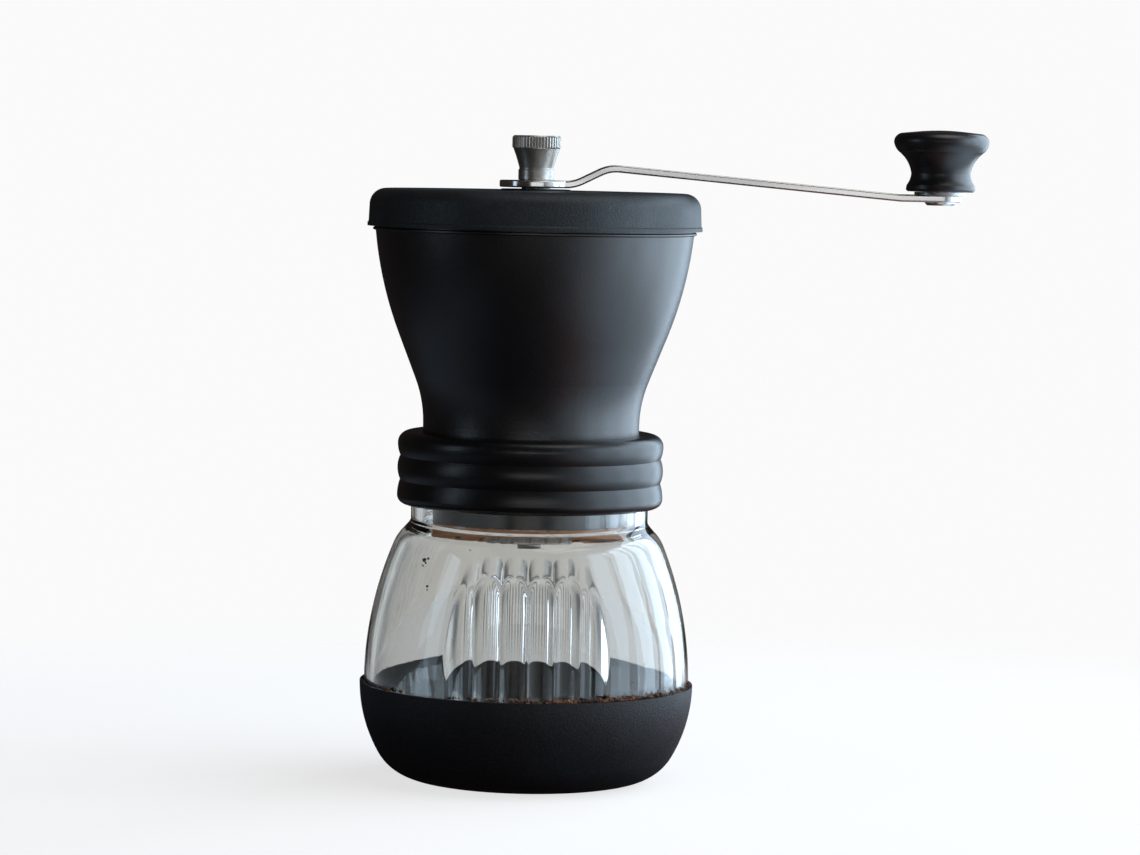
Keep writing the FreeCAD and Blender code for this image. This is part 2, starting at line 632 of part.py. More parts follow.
def make_lid():
    """Rubber lid: a skirt outside the hopper's rim, a plug ring inside it and a ring round the shaft."""
    slot_out = f"({RIM_RADIUS} + lid_gap)"
    plug_out = f"({RIM_RADIUS} - hopper_wall - lid_gap)"
    plug_in = f"({plug_out} - lid_plug_wall)"
    slot_top = f"({RIM_TOP} + lid_gap)"
    under = f"({LID_TOP} - lid_sheet)"
    side = f"({LID_RADIUS} - lid_draft)"
    body = turned(
        "lid_body",
        [
            ("lid_hole", under),
            (plug_in, under),
            (plug_in, f"{under} - lid_plug_depth"),
            (plug_out, f"{under} - lid_plug_depth"),
            (plug_out, slot_top),
            (slot_out, slot_top),
            (slot_out, LID_BOTTOM),
            (LID_RADIUS, LID_BOTTOM),
            (LID_RADIUS, f"{LID_BOTTOM} + lid_lip"),
            (f"{LID_RADIUS} - 0.3", f"{LID_BOTTOM} + lid_lip + 0.3"),
            (side, f"{LID_TOP} - lid_corner", "lid_corner", "left"),
            (f"{side} - lid_corner", LID_TOP),
            ("lid_boss_radius", LID_TOP),
            ("lid_boss_radius - lid_boss_rise", f"{LID_TOP} + lid_boss_rise"),
            ("lid_hole", f"{LID_TOP} + lid_boss_rise"),
        ],
    )
    return piece(body, "lid")


# ---------------------------------------------------------------- burrs and shaft


def flat_sided_tool(name, low, height, fit):
    """A tool of the shaft's flat-sided section, grown by a clearance."""
    rod = add(
        "Cylinder", name + "_rod", Radius=f"shaft_radius + ({fit})", Height=height, Base_z=low
    )
    slab = add(
        "Box",
        name + "_slab",
        Length=f"2 * (shaft_flat + ({fit}))",
        Width="4 * shaft_radius",
        Height=height,
        Base_x=f"-(shaft_flat + ({fit}))",
        Base_y="-2 * shaft_radius",
        Base_z=low,
    )
    return common(name, rod, slab)


FLATS_TOP = f"({BURR_TOP} + 1)"


def screw_corners(radius, low, high):
    """Corners of a V-grooved stretch of shaft, from low to high, standing in for its thread."""
    corners = []
    turns = int(round((size(high) - size(low)) / size("screw_pitch") - 0.5))
    for turn in range(turns):
        root = f"({low} + ({turn} + 0.75) * screw_pitch)"
        corners.append((radius, f"{root} - screw_pitch / 2"))
        corners.append((f"{radius} - screw_depth", root))
    corners.append((radius, f"{low} + ({turns} + 0.25) * screw_pitch"))
    return corners


def make_shaft():
    """Steel shaft: thread and flats for the burr below, a clip groove, then hexagon and thread on top."""
    clip_low = f"({HUB_TOP} + bush_flange + washer_thickness + 0.02)"
    clip_top = f"({clip_low} + washer_thickness)"
    hex_corner = "(shaft_hex / cos(30))"
    chamfer = "(screw_depth)"
    low_thread = screw_corners("shaft_radius", f"{SHAFT_BOTTOM} + {chamfer}", RECESS_TOP)
    top_thread = screw_corners("stud_radius", HEX_TOP, f"{STUD_TOP} - {chamfer}")
    blank = turned(
        "shaft_blank",
        [("0", SHAFT_BOTTOM), (f"shaft_radius - {chamfer}", SHAFT_BOTTOM)]
        + low_thread
        + [
            ("shaft_radius", clip_low),
            ("shaft_radius - circlip_depth", clip_low),
            ("shaft_radius - circlip_depth", clip_top),
            ("shaft_radius", clip_top),
            ("shaft_radius", ARM_SEAT),
            (hex_corner, ARM_SEAT),
            (hex_corner, HEX_TOP),
            ("stud_radius", HEX_TOP),
        ]
        + top_thread
        + [(f"stud_radius - {chamfer}", STUD_TOP), ("0", STUD_TOP)],
    )
    sleeve = add("Cylinder", "hex_sleeve", Radius="2 * shaft_radius", Height="hex_height", Base_z=ARM_SEAT)
    bar = add("Prism", "hex_bar", Circumradius=hex_corner, Height="hex_height", Base_z=ARM_SEAT)
    bar.Polygon = 6
    low = f"({SHAFT_BOTTOM} - 1)"
    flats_height = f"({FLATS_TOP} - {low})"
    collar = add("Cylinder", "flat_sleeve", Radius="2 * shaft_radius", Height=flats_height, Base_z=low)
    flats = cut("flat_trim", collar, flat_sided_tool("flat_bar", low, flats_height, "0"))
    trimmed = cut("shaft_trimmed", blank, fused("shaft_trim", cut("hex_trim", sleeve, bar), flats))
    return piece(trimmed, "shaft")


def washer(name, label, inner, outer, low, thickness, x=None):
    """A flat ring."""
    corners = [(inner, low), (outer, low), (outer, f"{low} + {thickness}"), (inner, f"{low} + {thickness}")]
    return piece(turned(name, corners, x=x), label)


def make_bearing():
    """Bush in the hub, its thrust washer and the clip that carries the shaft."""
    bore = "(shaft_radius + running_fit)"
    top = HUB_TOP
    bush = turned(
        "bush",
        [
            (bore, BRIDGE_BOTTOM),
            ("bush_radius", BRIDGE_BOTTOM),
            ("bush_radius", top),
            ("bush_flange_radius", top),
            ("bush_flange_radius", f"{top} + bush_flange"),
            (bore, f"{top} + bush_flange"),
        ],
    )
    piece(bush, "upper_bush")
    clear = "(shaft_radius + 2 * running_fit)"
    washer("thrust", "thrust_washer", clear, "washer_radius", f"({top} + bush_flange)", "washer_thickness")
    clip_low = f"({top} + bush_flange + washer_thickness + 0.05)"
    clip = turned(
        "clip",
        [
            ("shaft_radius - circlip_depth + 0.05", clip_low),
            ("circlip_radius", clip_low),
            ("circlip_radius", f"{clip_low} + washer_thickness - 0.08"),
            ("shaft_radius - circlip_depth + 0.05", f"{clip_low} + washer_thickness - 0.08"),
        ],
    )
    mouth = [
        ("0", "-shaft_radius * 0.7"),
        ("2 * circlip_radius", "-shaft_radius * 0.7"),
        ("2 * circlip_radius", "shaft_radius * 0.7"),
        ("0", "shaft_radius * 0.7"),
    ]
    pocketed(clip, "clip_mouth", f"{clip_low} - 1", "washer_thickness + 2", lambda s: outline(s, mouth))
    piece(clip, "shaft_circlip")
    low = f"({BRIDGE_BOTTOM} - washer_thickness - running_fit)"
    washer("seat", "spring_washer", clear, "washer_radius", low, "washer_thickness")


def make_spring():
    """Compression spring between its washer and the inner burr."""
    low = f"({BURR_TOP} + spring_wire)"
    free = f"({BRIDGE_BOTTOM} - washer_thickness - running_fit - {BURR_TOP} - 2 * spring_wire - 0.02)"
    spring = coil("spring", "spring_radius", f"{free} / spring_turns", free, "spring_wire", low)
    return piece(spring, "burr_spring")


def make_inner_burr():
    """Ceramic cone with twisted teeth, a flat-sided bore and a recess underneath for nut and lock ring."""
    blank = turned(
        "burr_blank",
        [
            ("0", RECESS_TOP),
            ("burr_recess_radius", RECESS_TOP),
            ("burr_recess_radius", BURR_BASE),
            ("burr_base_radius + burr_tooth", BURR_BASE),
            ("burr_base_radius + burr_tooth", f"{BURR_BASE} + 1.2"),
            ("burr_top_radius + burr_tooth", BURR_TOP),
            ("0", BURR_TOP),
        ],
    )
    teeth = doc.addObject("Part::Feature", "burr_teeth")
    low, high = size(BURR_BASE) - 0.5, size(BURR_TOP) + 0.5
    slope = size(CONE_SLOPE)
    tooth = size("burr_tooth")
    wires = [
        star(size("burr_base_radius") + 0.5 * slope, tooth, BURR_TEETH, low),
        star(size("burr_top_radius") - 0.5 * slope, tooth, BURR_TEETH, high, size("burr_twist")),
    ]
    teeth.Shape = Part.makeLoft(wires, True, True)
    toothed = common("burr_toothed", blank, teeth)
    height = f"(burr_height - burr_recess_depth + 2)"
    bore = flat_sided_tool("burr_bore", f"({RECESS_TOP} - 1)", height, "drive_fit")
    return piece(cut("burr", toothed, bore), "inner_burr")


def make_outer_burr():
    """Ceramic ring with teeth inside, and the ring that holds it in the skirt."""
    outer = "(skirt_radius - skirt_wall - ring_fit)"
    low = RING_BOTTOM
    blank = turned("ring_blank", [("0", low), (outer, low), (outer, SEAT), ("0", SEAT)])
    teeth = doc.addObject("Part::Feature", "ring_teeth")
    slope = size(f"({RING_BASE_RADIUS} - {RING_TOP_RADIUS}) / ring_height")
    tooth = size("burr_tooth")
    base, top = size(low) - 0.5, size(SEAT) + 0.5
    wires = [
        star(size(RING_BASE_RADIUS) + 0.5 * slope, tooth, RING_TEETH, base),
        star(size(RING_TOP_RADIUS) - 0.5 * slope, tooth, RING_TEETH, top, -size("burr_twist") / 2),
    ]
    teeth.Shape = Part.makeLoft(wires, True, True)
    piece(cut("ring", blank, teeth), "outer_burr")
    inner = f"({outer} - retainer_wall)"
    retainer = turned(
        "retainer",
        [
            (inner, f"{low} - retainer_height"),
            (outer, f"{low} - retainer_height"),
            (outer, low),
            (inner, low),
        ],
    )
    grip = "retainer_wall / 2"
    notches(retainer, "retainer_grip", f"{low} - retainer_height", "1.4", inner, grip, "1.5", 6)
    return piece(retainer, "burr_retainer")


def make_adjuster():
    """Notched adjusting nut on the shaft's thread, and the tabbed lock ring that clicks over it."""
    top = f"({RECESS_TOP} - lock_thickness)"
    nut_top = f"({top} - adjuster_gap)"
    nut_low = f"({nut_top} - adjuster_height)"
    bore = "(shaft_radius + running_fit)"
    nut = turned(
        "adjuster",
        [
            (bore, nut_low),
            ("adjuster_radius - 0.6", nut_low),
            ("adjuster_radius", f"{nut_low} + 0.6"),
            ("adjuster_radius", nut_top),
            (bore, nut_top),
        ],
    )
    radius = "adjuster_radius"
    low, tall = f"{nut_low} - 1", "adjuster_height + 2"
    notches(nut, "adjuster_grip", low, tall, radius, "0.8", "0.7", ADJUSTER_NOTCHES)
    piece(nut, "adjusting_nut")
    disc = turned(
        "lock_disc", [("0", top), ("lock_radius", top), ("lock_radius", RECESS_TOP), ("0", RECESS_TOP)]
    )
    notches(disc, "lock_tab", f"{top} - 1", "lock_thickness + 2", "lock_radius", "1.4", "1.6", LOCK_TABS)
    bore = flat_sided_tool("lock_bore", f"({top} - 1)", "lock_thickness + 2", "drive_fit")
    return piece(cut("lock", disc, bore), "lock_ring")


# ---------------------------------------------------------------- crank, knob and nut

HUB_Z = f"({ARM_SEAT} + arm_thickness / 2)"
CREST_Z = f"({HUB_Z} + (arm_crest - arm_ramp_start) * tan(arm_ramp_angle))"
LEVEL_Z = f"({CREST_Z} - (arm_level_start - arm_crest) * tan(arm_droop_angle))"
ARM_TOP = f"({LEVEL_Z} + arm_thickness / 2)"
ARM_UNDER = f"({LEVEL_Z} - arm_thickness / 2)"


def strip_corners(side):
    """One face of the bent strip, from hub to end; side is "+" for its upper face and "-" for its lower."""
    half = "arm_thickness / 2"
    sway = "(arm_ramp_angle - arm_droop_angle) / 2"
    crest = f"({half} / cos((arm_ramp_angle + arm_droop_angle) / 2))"
    other = "-" if side == "+" else "+"
    return [
        ("-arm_hub_radius - 1", f"{HUB_Z} {side} {half}"),
        (f"arm_ramp_start {other} {half} * tan(arm_ramp_angle / 2)", f"{HUB_Z} {side} {half}"),
        (f"arm_crest {other} {crest} * sin({sway})", f"{CREST_Z} {side} {crest} * cos({sway})"),
        (f"arm_level_start {side} {half} * tan(arm_droop_angle / 2)", f"{LEVEL_Z} {side} {half}"),
        ("knob_reach + arm_width", f"{LEVEL_Z} {side} {half}"),
    ]


def edges_at(shape, places, along):
    """Names of the straight edges along a direction that pass through the given (x, z) places."""
    found = []
    for number, edge in enumerate(shape.Edges, start=1):
        if edge.Curve.TypeId != "Part::GeomLine" or abs(edge.Curve.Direction.dot(along)) < 0.999:
            continue
        start = edge.Vertexes[0].Point
        if any(math.hypot(start.x - x, start.z - z) < 0.01 for x, z in places):
            found.append(f"Edge{number}")
    return found


def make_arm():
    """Bent steel strip with round ends: the side view padded, its bends rounded, then trimmed to the plan."""
    upper, lower = strip_corners("+"), strip_corners("-")
    strip = doc.addObject("PartDesign::Body", "arm_strip")
    side = new_sketch(strip, "arm_side")
    outline(side, lower + upper[::-1])
    pad = strip.newObject("PartDesign::Pad", "arm_pad")
    pad.Profile = side
    pad.Midplane = True
    bind(pad, Length="3 * arm_width")
    doc.recompute()
    bends = {
        "arm_bends_inside": ([upper[1], lower[2], upper[3]], "arm_bend"),
        "arm_bends_outside": ([lower[1], upper[2], lower[3]], "arm_bend + arm_thickness"),
    }
    for name, (corners, radius) in bends.items():
        places = [(size(c[0]), size(c[1])) for c in corners]
        before = strip.Tip
        rounding = strip.newObject("PartDesign::Fillet", name)
        rounding.Base = (before, edges_at(before.Shape, places, Vector(0, 1, 0)))
        bind(rounding, Radius=radius)
        doc.recompute()
    plan = doc.addObject("PartDesign::Body", "arm_plan")
    half = "(arm_width / 2)"
    join = f"sqrt(arm_hub_radius^2 - {half}^2)"
    corners = [
        (join, half, "arm_hub_radius", "left"),
        ("-arm_hub_radius", "0", "arm_hub_radius", "left"),
        (join, f"-{half}"),
        ("knob_reach", f"-{half}", half, "left"),
        (f"knob_reach + {half}", "0", half, "left"),
        ("knob_reach", half),
    ]
    padded(plan, "arm_plan_pad", f"{LID_TOP} - 20", "40", lambda s: outline(s, corners))
    blank = common("arm_blank", strip, plan)
    drive = add(
        "Prism",
        "arm_drive",
        Circumradius="(shaft_hex + drive_fit) / cos(30)",
        Height="arm_thickness + 2",
        Base_z=f"{ARM_SEAT} - 1",
    )
    drive.Polygon = 6
    eye = add(
        "Cylinder",
        "arm_eye",
        Radius="pin_rivet_radius",
        Height="arm_thickness + 2",
        Base_x="knob_reach",
        Base_z=f"{ARM_UNDER} - 1",
    )
    drilled = cut("arm_drilled", blank, fused("arm_holes", drive, eye))
    doc.recompute()
    rounded = doc.addObject("Part::Fillet", "arm")
    rounded.Base = drilled
    rim = rim_edges(drilled.Shape, size("arm_hub_radius"), size("arm_width") / 2, size("knob_reach"))
    rounded.Edges = [(number, size("arm_edge"), size("arm_edge")) for number in rim]
    return piece(rounded, "handle_arm")


def rim_edges(shape, hub, half, reach):
    """Numbers of the edges that run round the strip's outline, upper and lower, and not of its holes."""
    found = []
    for number, edge in enumerate(shape.Edges, start=1):
        box = edge.BoundBox
        upright = box.ZLength > 1.5 and box.XLength < 0.1 and box.YLength < 0.1
        points = [edge.valueAt(edge.FirstParameter + share * (edge.LastParameter - edge.FirstParameter))
                  for share in (0.1, 0.5, 0.9)]
        on_outline = all(
            abs(abs(p.y) - half) < 0.05
            or abs(math.hypot(p.x, p.y) - hub) < 0.05
            or abs(math.hypot(p.x - reach, p.y) - half) < 0.05
            for p in points
        )
        if on_outline and not upright:
            found.append(number)
    return found


def make_knob():
    """Turning knob: the pin riveted into the strip, a washer, the knob and its cap."""
    foot = f"({ARM_TOP} + washer_thickness)"
    washer("knob_ring", "knob_washer", "pin_radius + 2 * running_fit", "washer_radius", ARM_TOP,
           "washer_thickness", x="knob_reach")
    top = f"({ARM_TOP} + knob_height)"
    well = f"({top} - knob_crown - knob_well_depth)"
    head = f"({well} + 0.3)"
    pin = turned(
        "pin",
        [
            ("0", f"{ARM_UNDER} - 0.9"),
            ("pin_foot_radius - 0.6", f"{ARM_UNDER} - 0.9"),
            ("pin_foot_radius", f"{ARM_UNDER} - 0.3"),
            ("pin_foot_radius", ARM_UNDER),
            ("pin_rivet_radius", ARM_UNDER),
            ("pin_rivet_radius", ARM_TOP),
            ("pin_radius", ARM_TOP),
            ("pin_radius", head),
            ("pin_head_radius", head),
            ("pin_head_radius", f"{head} + pin_head"),
            ("0", f"{head} + pin_head"),
        ],
        x="knob_reach",
    )
    piece(pin, "knob_pin")
    bore = "(pin_radius + running_fit)"
    low = f"({foot} + 0.1)"
    crown = f"({top} - knob_crown)"
    waist = f"({low} + 5)"
    shoulder = f"({crown} - 5.2)"
    knob = turned(
        "knob_grip",
        [
            (bore, low),
            ("knob_foot_radius - 0.8", low, "0.8", "left"),
            ("knob_foot_radius", f"{low} + 0.8"),
            ("knob_foot_radius - 0.2", f"{low} + 1.8", "6", "right"),
            ("knob_waist_radius", waist, "9", "right"),
            ("knob_radius - 1.4", shoulder, "4.5", "left"),
            ("knob_radius", f"{crown} - 2.4", "2.6", "left"),
            ("knob_radius - 2.2", crown),
            ("knob_well_radius", f"{crown} + knob_crown * 0.6"),
            ("knob_well_radius", well),
            (bore, well),
        ],
        x="knob_reach",
    )
    piece(knob, "knob")
    seat = f"({crown} + knob_crown * 0.6 - cap_thickness)"
    cap_radius = "(knob_well_radius - 0.05)"
    dome = "(0.4 * knob_crown)"
    cap = turned(
        "cap",
        [
            ("0", seat),
            (cap_radius, seat),
            (
                cap_radius,
                f"{crown} + knob_crown * 0.6",
                f"({cap_radius}^2 + {dome}^2) / (2 * {dome})",
                "left",
            ),
            ("0", top),
        ],
        x="knob_reach",
    )
    piece(cap, "knob_cap")


def make_nut():
    """Top nut: knurled band, hollow cone and neck, with a blind thread from below."""
    low = NUT_BOTTOM
    cone_top = f"({NUT_TOP} - nut_knurl_height)"
    cone_low = f"({cone_top} - nut_cone_height)"
    bore = "(stud_radius + running_fit)"
    hollow = "(shaft_hex / cos(30) + 0.3)"
    step = f"({HEX_TOP} + 0.2)"
    band = "nut_knurl_radius"
    nut = turned(
        "nut",
        [
            (hollow, low),
            ("nut_neck_radius - 0.3", low),
            ("nut_neck_radius", f"{low} + 0.3"),
            ("nut_neck_radius", f"{cone_low} - 0.5"),
            ("nut_neck_radius - 0.25", f"{cone_low} - 0.3"),
            ("nut_neck_radius - 0.25", cone_low, "nut_cone_arc", "right"),
            (f"{band} - knurl_depth", cone_top),
            (band, f"{cone_top} + knurl_depth"),
            (band, f"{NUT_TOP} - nut_edge"),
            (f"{band} - nut_edge", NUT_TOP),
            ("0", NUT_TOP),
            ("0", f"{NUT_TOP} - nut_roof"),
            (bore, f"{NUT_TOP} - nut_roof"),
            (bore, step),
            (hollow, step),
        ],
    )
    notches(nut, "knurl", cone_top, "nut_knurl_height + 1", band, "knurl_depth", "0.3", KNURLS)
    return piece(nut, "handle_nut")


# ---------------------------------------------------------------- build, test and write

for make in (
    make_boot,
    make_jar,
    make_mill_body,
    make_hopper,
    make_lid,
    make_shaft,
    make_bearing,
    make_spring,
    make_inner_burr,
    make_outer_burr,
    make_adjuster,
    make_arm,
    make_knob,
    make_nut,
):
    make()
doc.recompute()

for thing in doc.Objects:
    bad = {"Invalid", "Error"} & set(thing.State)
    if bad:
        raise RuntimeError(f"{thing.Name} ({thing.Label}) is {sorted(bad)}: {thing.getStatusString()}")
for thing in PIECES:
    if thing.Shape.isNull() or not thing.Shape.isValid() or not thing.Shape.Solids:
        raise RuntimeError(f"{thing.Label} has no valid solid")

os.makedirs("parts", exist_ok=True)
for thing in PIECES:
    thing.Shape.exportStep(os.path.join("parts", thing.Label + ".step"))
    print(f"{thing.Label}: {len(thing.Shape.Solids)} solid, {thing.Shape.Volume:.0f} mm3")
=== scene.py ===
import math
import random

import bmesh
import bpy
from mathutils import Matrix, Vector


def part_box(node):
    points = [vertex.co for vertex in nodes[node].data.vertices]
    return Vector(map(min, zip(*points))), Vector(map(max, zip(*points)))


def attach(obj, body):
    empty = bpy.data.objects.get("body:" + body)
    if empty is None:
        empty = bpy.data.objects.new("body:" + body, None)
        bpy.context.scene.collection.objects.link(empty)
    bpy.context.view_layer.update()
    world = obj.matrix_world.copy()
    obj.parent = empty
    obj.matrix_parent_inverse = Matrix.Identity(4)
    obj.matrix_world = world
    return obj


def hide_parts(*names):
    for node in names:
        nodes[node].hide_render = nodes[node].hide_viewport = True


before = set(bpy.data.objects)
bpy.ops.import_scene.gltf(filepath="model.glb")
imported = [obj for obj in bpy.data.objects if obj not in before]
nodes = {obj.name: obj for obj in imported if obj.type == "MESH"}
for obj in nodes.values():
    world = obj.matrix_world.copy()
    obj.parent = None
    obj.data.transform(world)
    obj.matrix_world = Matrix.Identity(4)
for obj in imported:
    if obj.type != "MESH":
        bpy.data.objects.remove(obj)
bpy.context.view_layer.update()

# Looks of the hand coffee grinder, in metres, in the frame's own axes: +Z up, crank along +X.


def deselect():
    """Leaves nothing selected."""
    if bpy.context.object and bpy.context.object.mode != "OBJECT":
        bpy.ops.object.mode_set(mode="OBJECT")
    bpy.ops.object.select_all(action="DESELECT")


# ---------------------------------------------------------------- camera, light and floor

LENS, SENSOR = 126.7, 36  # mm
CAMERA_DISTANCE = 1.115
CAMERA_HEIGHT = 0.1737
PITCH = math.radians(3.864)
YAW = math.radians(0.557)
ROLL = math.radians(1.19)


def make_camera():
    """A long lens, level with the lid and looking a little down."""
    data = bpy.data.cameras.new("camera")
    data.sensor_width = SENSOR
    data.lens = LENS
    camera = bpy.data.objects.new("camera", data)
    bpy.context.collection.objects.link(camera)
    turn = Matrix.Rotation(-YAW, 4, "Z") @ Matrix.Rotation(math.pi / 2 - PITCH, 4, "X")
    turn = turn @ Matrix.Rotation(ROLL, 4, "Z")
    camera.matrix_world = Matrix.Translation((0, -CAMERA_DISTANCE, CAMERA_HEIGHT)) @ turn
    bpy.context.scene.camera = camera


def make_light(name, azimuth, height, distance, width, tall, power, colour):
    """A rectangular soft light that faces the object. Azimuth 0 is the camera's side and 90 is +X."""
    data = bpy.data.lights.new(name, "AREA")
    data.shape = "RECTANGLE"
    data.size = width
    data.size_y = tall
    data.energy = power
    data.color = colour
    light = bpy.data.objects.new(name, data)
    bpy.context.collection.objects.link(light)
    turn = math.radians(azimuth)
    place = Vector((math.sin(turn) * distance, -math.cos(turn) * distance, height))
    aim = Vector((0, 0, 0.1)) - place
    light.matrix_world = Matrix.Translation(place) @ aim.to_track_quat("-Z", "Y").to_matrix().to_4x4()
    return light


WINDOW_COLOUR, LAMP_COLOUR = (0.64, 0.82, 1.0), (1.0, 0.94, 0.88)
WINDOW_PANES = ((68, 3.6), (93, 6.5), (118, 6.5), (143, 5.5))  # azimuth, power


def light_studio():
    """A tall window of four panes to the right and behind, weak fills, and a pale room."""
    for number, (azimuth, power) in enumerate(WINDOW_PANES):
        make_light(f"window_{number}", azimuth, 0.34, 1.2, 0.4, 1.3, power, WINDOW_COLOUR)
    make_light("left_fill", -70, 0.4, 1.4, 0.3, 0.9, 1.3, WINDOW_COLOUR)
    make_light("front_card", 4, 0.3, 1.8, 1.3, 0.36, 2.2, (0.95, 0.97, 1.0))
    make_light("overhead", 60, 1.5, 0.4, 0.9, 0.9, 4.5, LAMP_COLOUR)
    world = bpy.data.worlds.new("pale_room")
    bpy.context.scene.world = world
    world.use_nodes = True
    tree = world.node_tree
    background = tree.nodes["Background"]
    path = tree.nodes.new("ShaderNodeLightPath")
    split = tree.nodes.new("ShaderNodeSeparateXYZ")
    tree.links.new(tree.nodes.new("ShaderNodeTexCoord").outputs["Generated"], split.inputs["Vector"])
    across = split.outputs["X"]
    mirrored = room_mix(tree, ramp(tree, across, 0.3, 0.8), (0.03, 0.024, 0.022), (0.8, 0.9, 1.0))
    through = room_ramp(tree, across, ROOM_THROUGH)
    lit = room_mix(tree, path.outputs["Is Transmission Ray"], mirrored, through)
    seen = room_mix(tree, path.outputs["Is Camera Ray"], lit, (0.96, 0.96, 0.96))
    tree.links.new(seen, background.inputs["Color"])
    background.inputs["Strength"].default_value = 1.0


# the room behind the glass, from left (-1) to right (+1) of the object
ROOM_THROUGH = (
    (-0.9, (0.30, 0.32, 0.33)),
    (-0.55, (0.62, 0.65, 0.66)),
    (-0.34, (0.10, 0.10, 0.10)),
    (-0.17, (0.42, 0.41, 0.39)),
    (-0.06, (0.50, 0.48, 0.455)),
    (0.08, (0.50, 0.49, 0.47)),
    (0.2, (0.34, 0.34, 0.335)),
    (0.33, (0.12, 0.12, 0.125)),
    (0.5, (0.62, 0.66, 0.7)),
    (0.9, (0.8, 0.88, 0.95)),
)


def room_ramp(tree, value, stops):
    """Colours along a value between -1 and 1; returns the result."""
    node = tree.nodes.new("ShaderNodeValToRGB")
    node.color_ramp.interpolation = "EASE"
    bar = node.color_ramp.elements
    while len(bar) < len(stops):
        bar.new(0.5)
    for stop, (place, colour) in zip(bar, stops):
        stop.position = 0.5 + 0.5 * place
        stop.color = (*colour, 1)
    half = math_node(tree, "MULTIPLY_ADD", value, 0.5)
    half.node.inputs[2].default_value = 0.5
    tree.links.new(half, node.inputs["Fac"])
    return node.outputs["Color"]


def room_mix(tree, factor, first, second):
    """Mixes two colours of the room by the kind of ray; returns the result."""
    node = tree.nodes.new("ShaderNodeMix")
    node.data_type = "RGBA"
    tree.links.new(factor, node.inputs["Factor"])
    for name, value in (("A", first), ("B", second)):
        if isinstance(value, tuple):
            node.inputs[name].default_value = (*value, 1)
        else:
            tree.links.new(value, node.inputs[name])
    return node.outputs["Result"]


FLOOR_CLEAR = 0.16  # radius of the solid middle of the floor
FLOOR_EDGE = 0.42  # where it has faded into the pale room
GLOW_SPREAD = 2.5  # places per metre along the ramp of the floor's glow
# the table's glow in reflections, from left to right of the crank's axis
FLOOR_MIRRORED = (
    (-0.6, (0.16, 0.2, 0.26)),
    (-0.2, (0.012, 0.01, 0.012)),
    (0.1, (0.02, 0.012, 0.012)),
    (0.22, (0.16, 0.07, 0.06)),
    (0.32, (0.3, 0.15, 0.13)),
    (0.42, (0.62, 0.78, 0.95)),
    (0.7, (1.1, 1.4, 1.7)),
)


def make_floor():
    """A pale floor under the object that fades into the pale room round it."""
    deselect()
    bpy.ops.mesh.primitive_circle_add(vertices=96, radius=FLOOR_EDGE, fill_type="NGON", location=(0, 0, 0))
    floor = bpy.context.object
    floor.name = "floor"
    material = bpy.data.materials.new("pale_floor")
    material.use_nodes = True
    tree = material.node_tree
    shader = tree.nodes["Principled BSDF"]
    leave = tree.nodes["Material Output"]
    path = tree.nodes.new("ShaderNodeLightPath")
    through = room_mix(tree, path.outputs["Is Transmission Ray"], (0.02, 0.02, 0.02), (0.25, 0.25, 0.24))
    lit = room_mix(tree, path.outputs["Is Camera Ray"], through, (0.4, 0.4, 0.4))
    tree.links.new(lit, shader.inputs["Base Color"])
    place = tree.nodes.new("ShaderNodeTexCoord").outputs["Object"]
    split = tree.nodes.new("ShaderNodeSeparateXYZ")
    tree.links.new(place, split.inputs["Vector"])
    glow = room_ramp(tree, math_node(tree, "MULTIPLY", split.outputs["X"], GLOW_SPREAD), FLOOR_MIRRORED)
    glow = room_mix(tree, path.outputs["Is Transmission Ray"], glow, (0.34, 0.33, 0.32))
    glow = room_mix(tree, path.outputs["Is Camera Ray"], glow, (0.72, 0.72, 0.72))
    tree.links.new(glow, shader.inputs["Emission Color"])
    shader.inputs["Emission Strength"].default_value = 1.0
    shader.inputs["Roughness"].default_value = 0.8
    shader.inputs["Specular IOR Level"].default_value = 0.1
    far = tree.nodes.new("ShaderNodeVectorMath")
    far.operation = "LENGTH"
    tree.links.new(place, far.inputs[0])
    fade = tree.nodes.new("ShaderNodeMapRange")
    fade.interpolation_type = "SMOOTHERSTEP"
    fade.inputs["From Min"].default_value = FLOOR_CLEAR
    fade.inputs["From Max"].default_value = FLOOR_EDGE
    tree.links.new(far.outputs["Value"], fade.inputs["Value"])
    clear = tree.nodes.new("ShaderNodeBsdfTransparent")
    blend = tree.nodes.new("ShaderNodeMixShader")
    tree.links.new(fade.outputs["Result"], blend.inputs["Fac"])
    tree.links.new(shader.outputs["BSDF"], blend.inputs[1])
    tree.links.new(clear.outputs["BSDF"], blend.inputs[2])
    tree.links.new(blend.outputs["Shader"], leave.inputs["Surface"])
    floor.data.materials.append(material)


# ---------------------------------------------------------------- shared effects


def new_group(name, inputs, outputs):
    """A shader node group with those named sockets: (name, value) in, (name, socket type) out."""
    group = bpy.data.node_groups.new(name, "ShaderNodeTree")
    for label, value in inputs:
        socket = group.interface.new_socket(name=label, in_out="INPUT", socket_type="NodeSocketFloat")
        socket.default_value = value
    for label, kind in outputs:
        group.interface.new_socket(name=label, in_out="OUTPUT", socket_type=kind)
    return group, group.nodes.new("NodeGroupInput"), group.nodes.new("NodeGroupOutput")


def math_node(tree, operation, first, second=None, clamp=False):
    """A Math node fed by sockets or numbers; returns its output."""
    node = tree.nodes.new("ShaderNodeMath")
    node.operation = operation
    node.use_clamp = clamp
    for index, value in enumerate((first, second)):
        if value is None:
            continue
        if isinstance(value, (int, float)):
            node.inputs[index].default_value = value
        else:
            tree.links.new(value, node.inputs[index])
    return node.outputs[0]


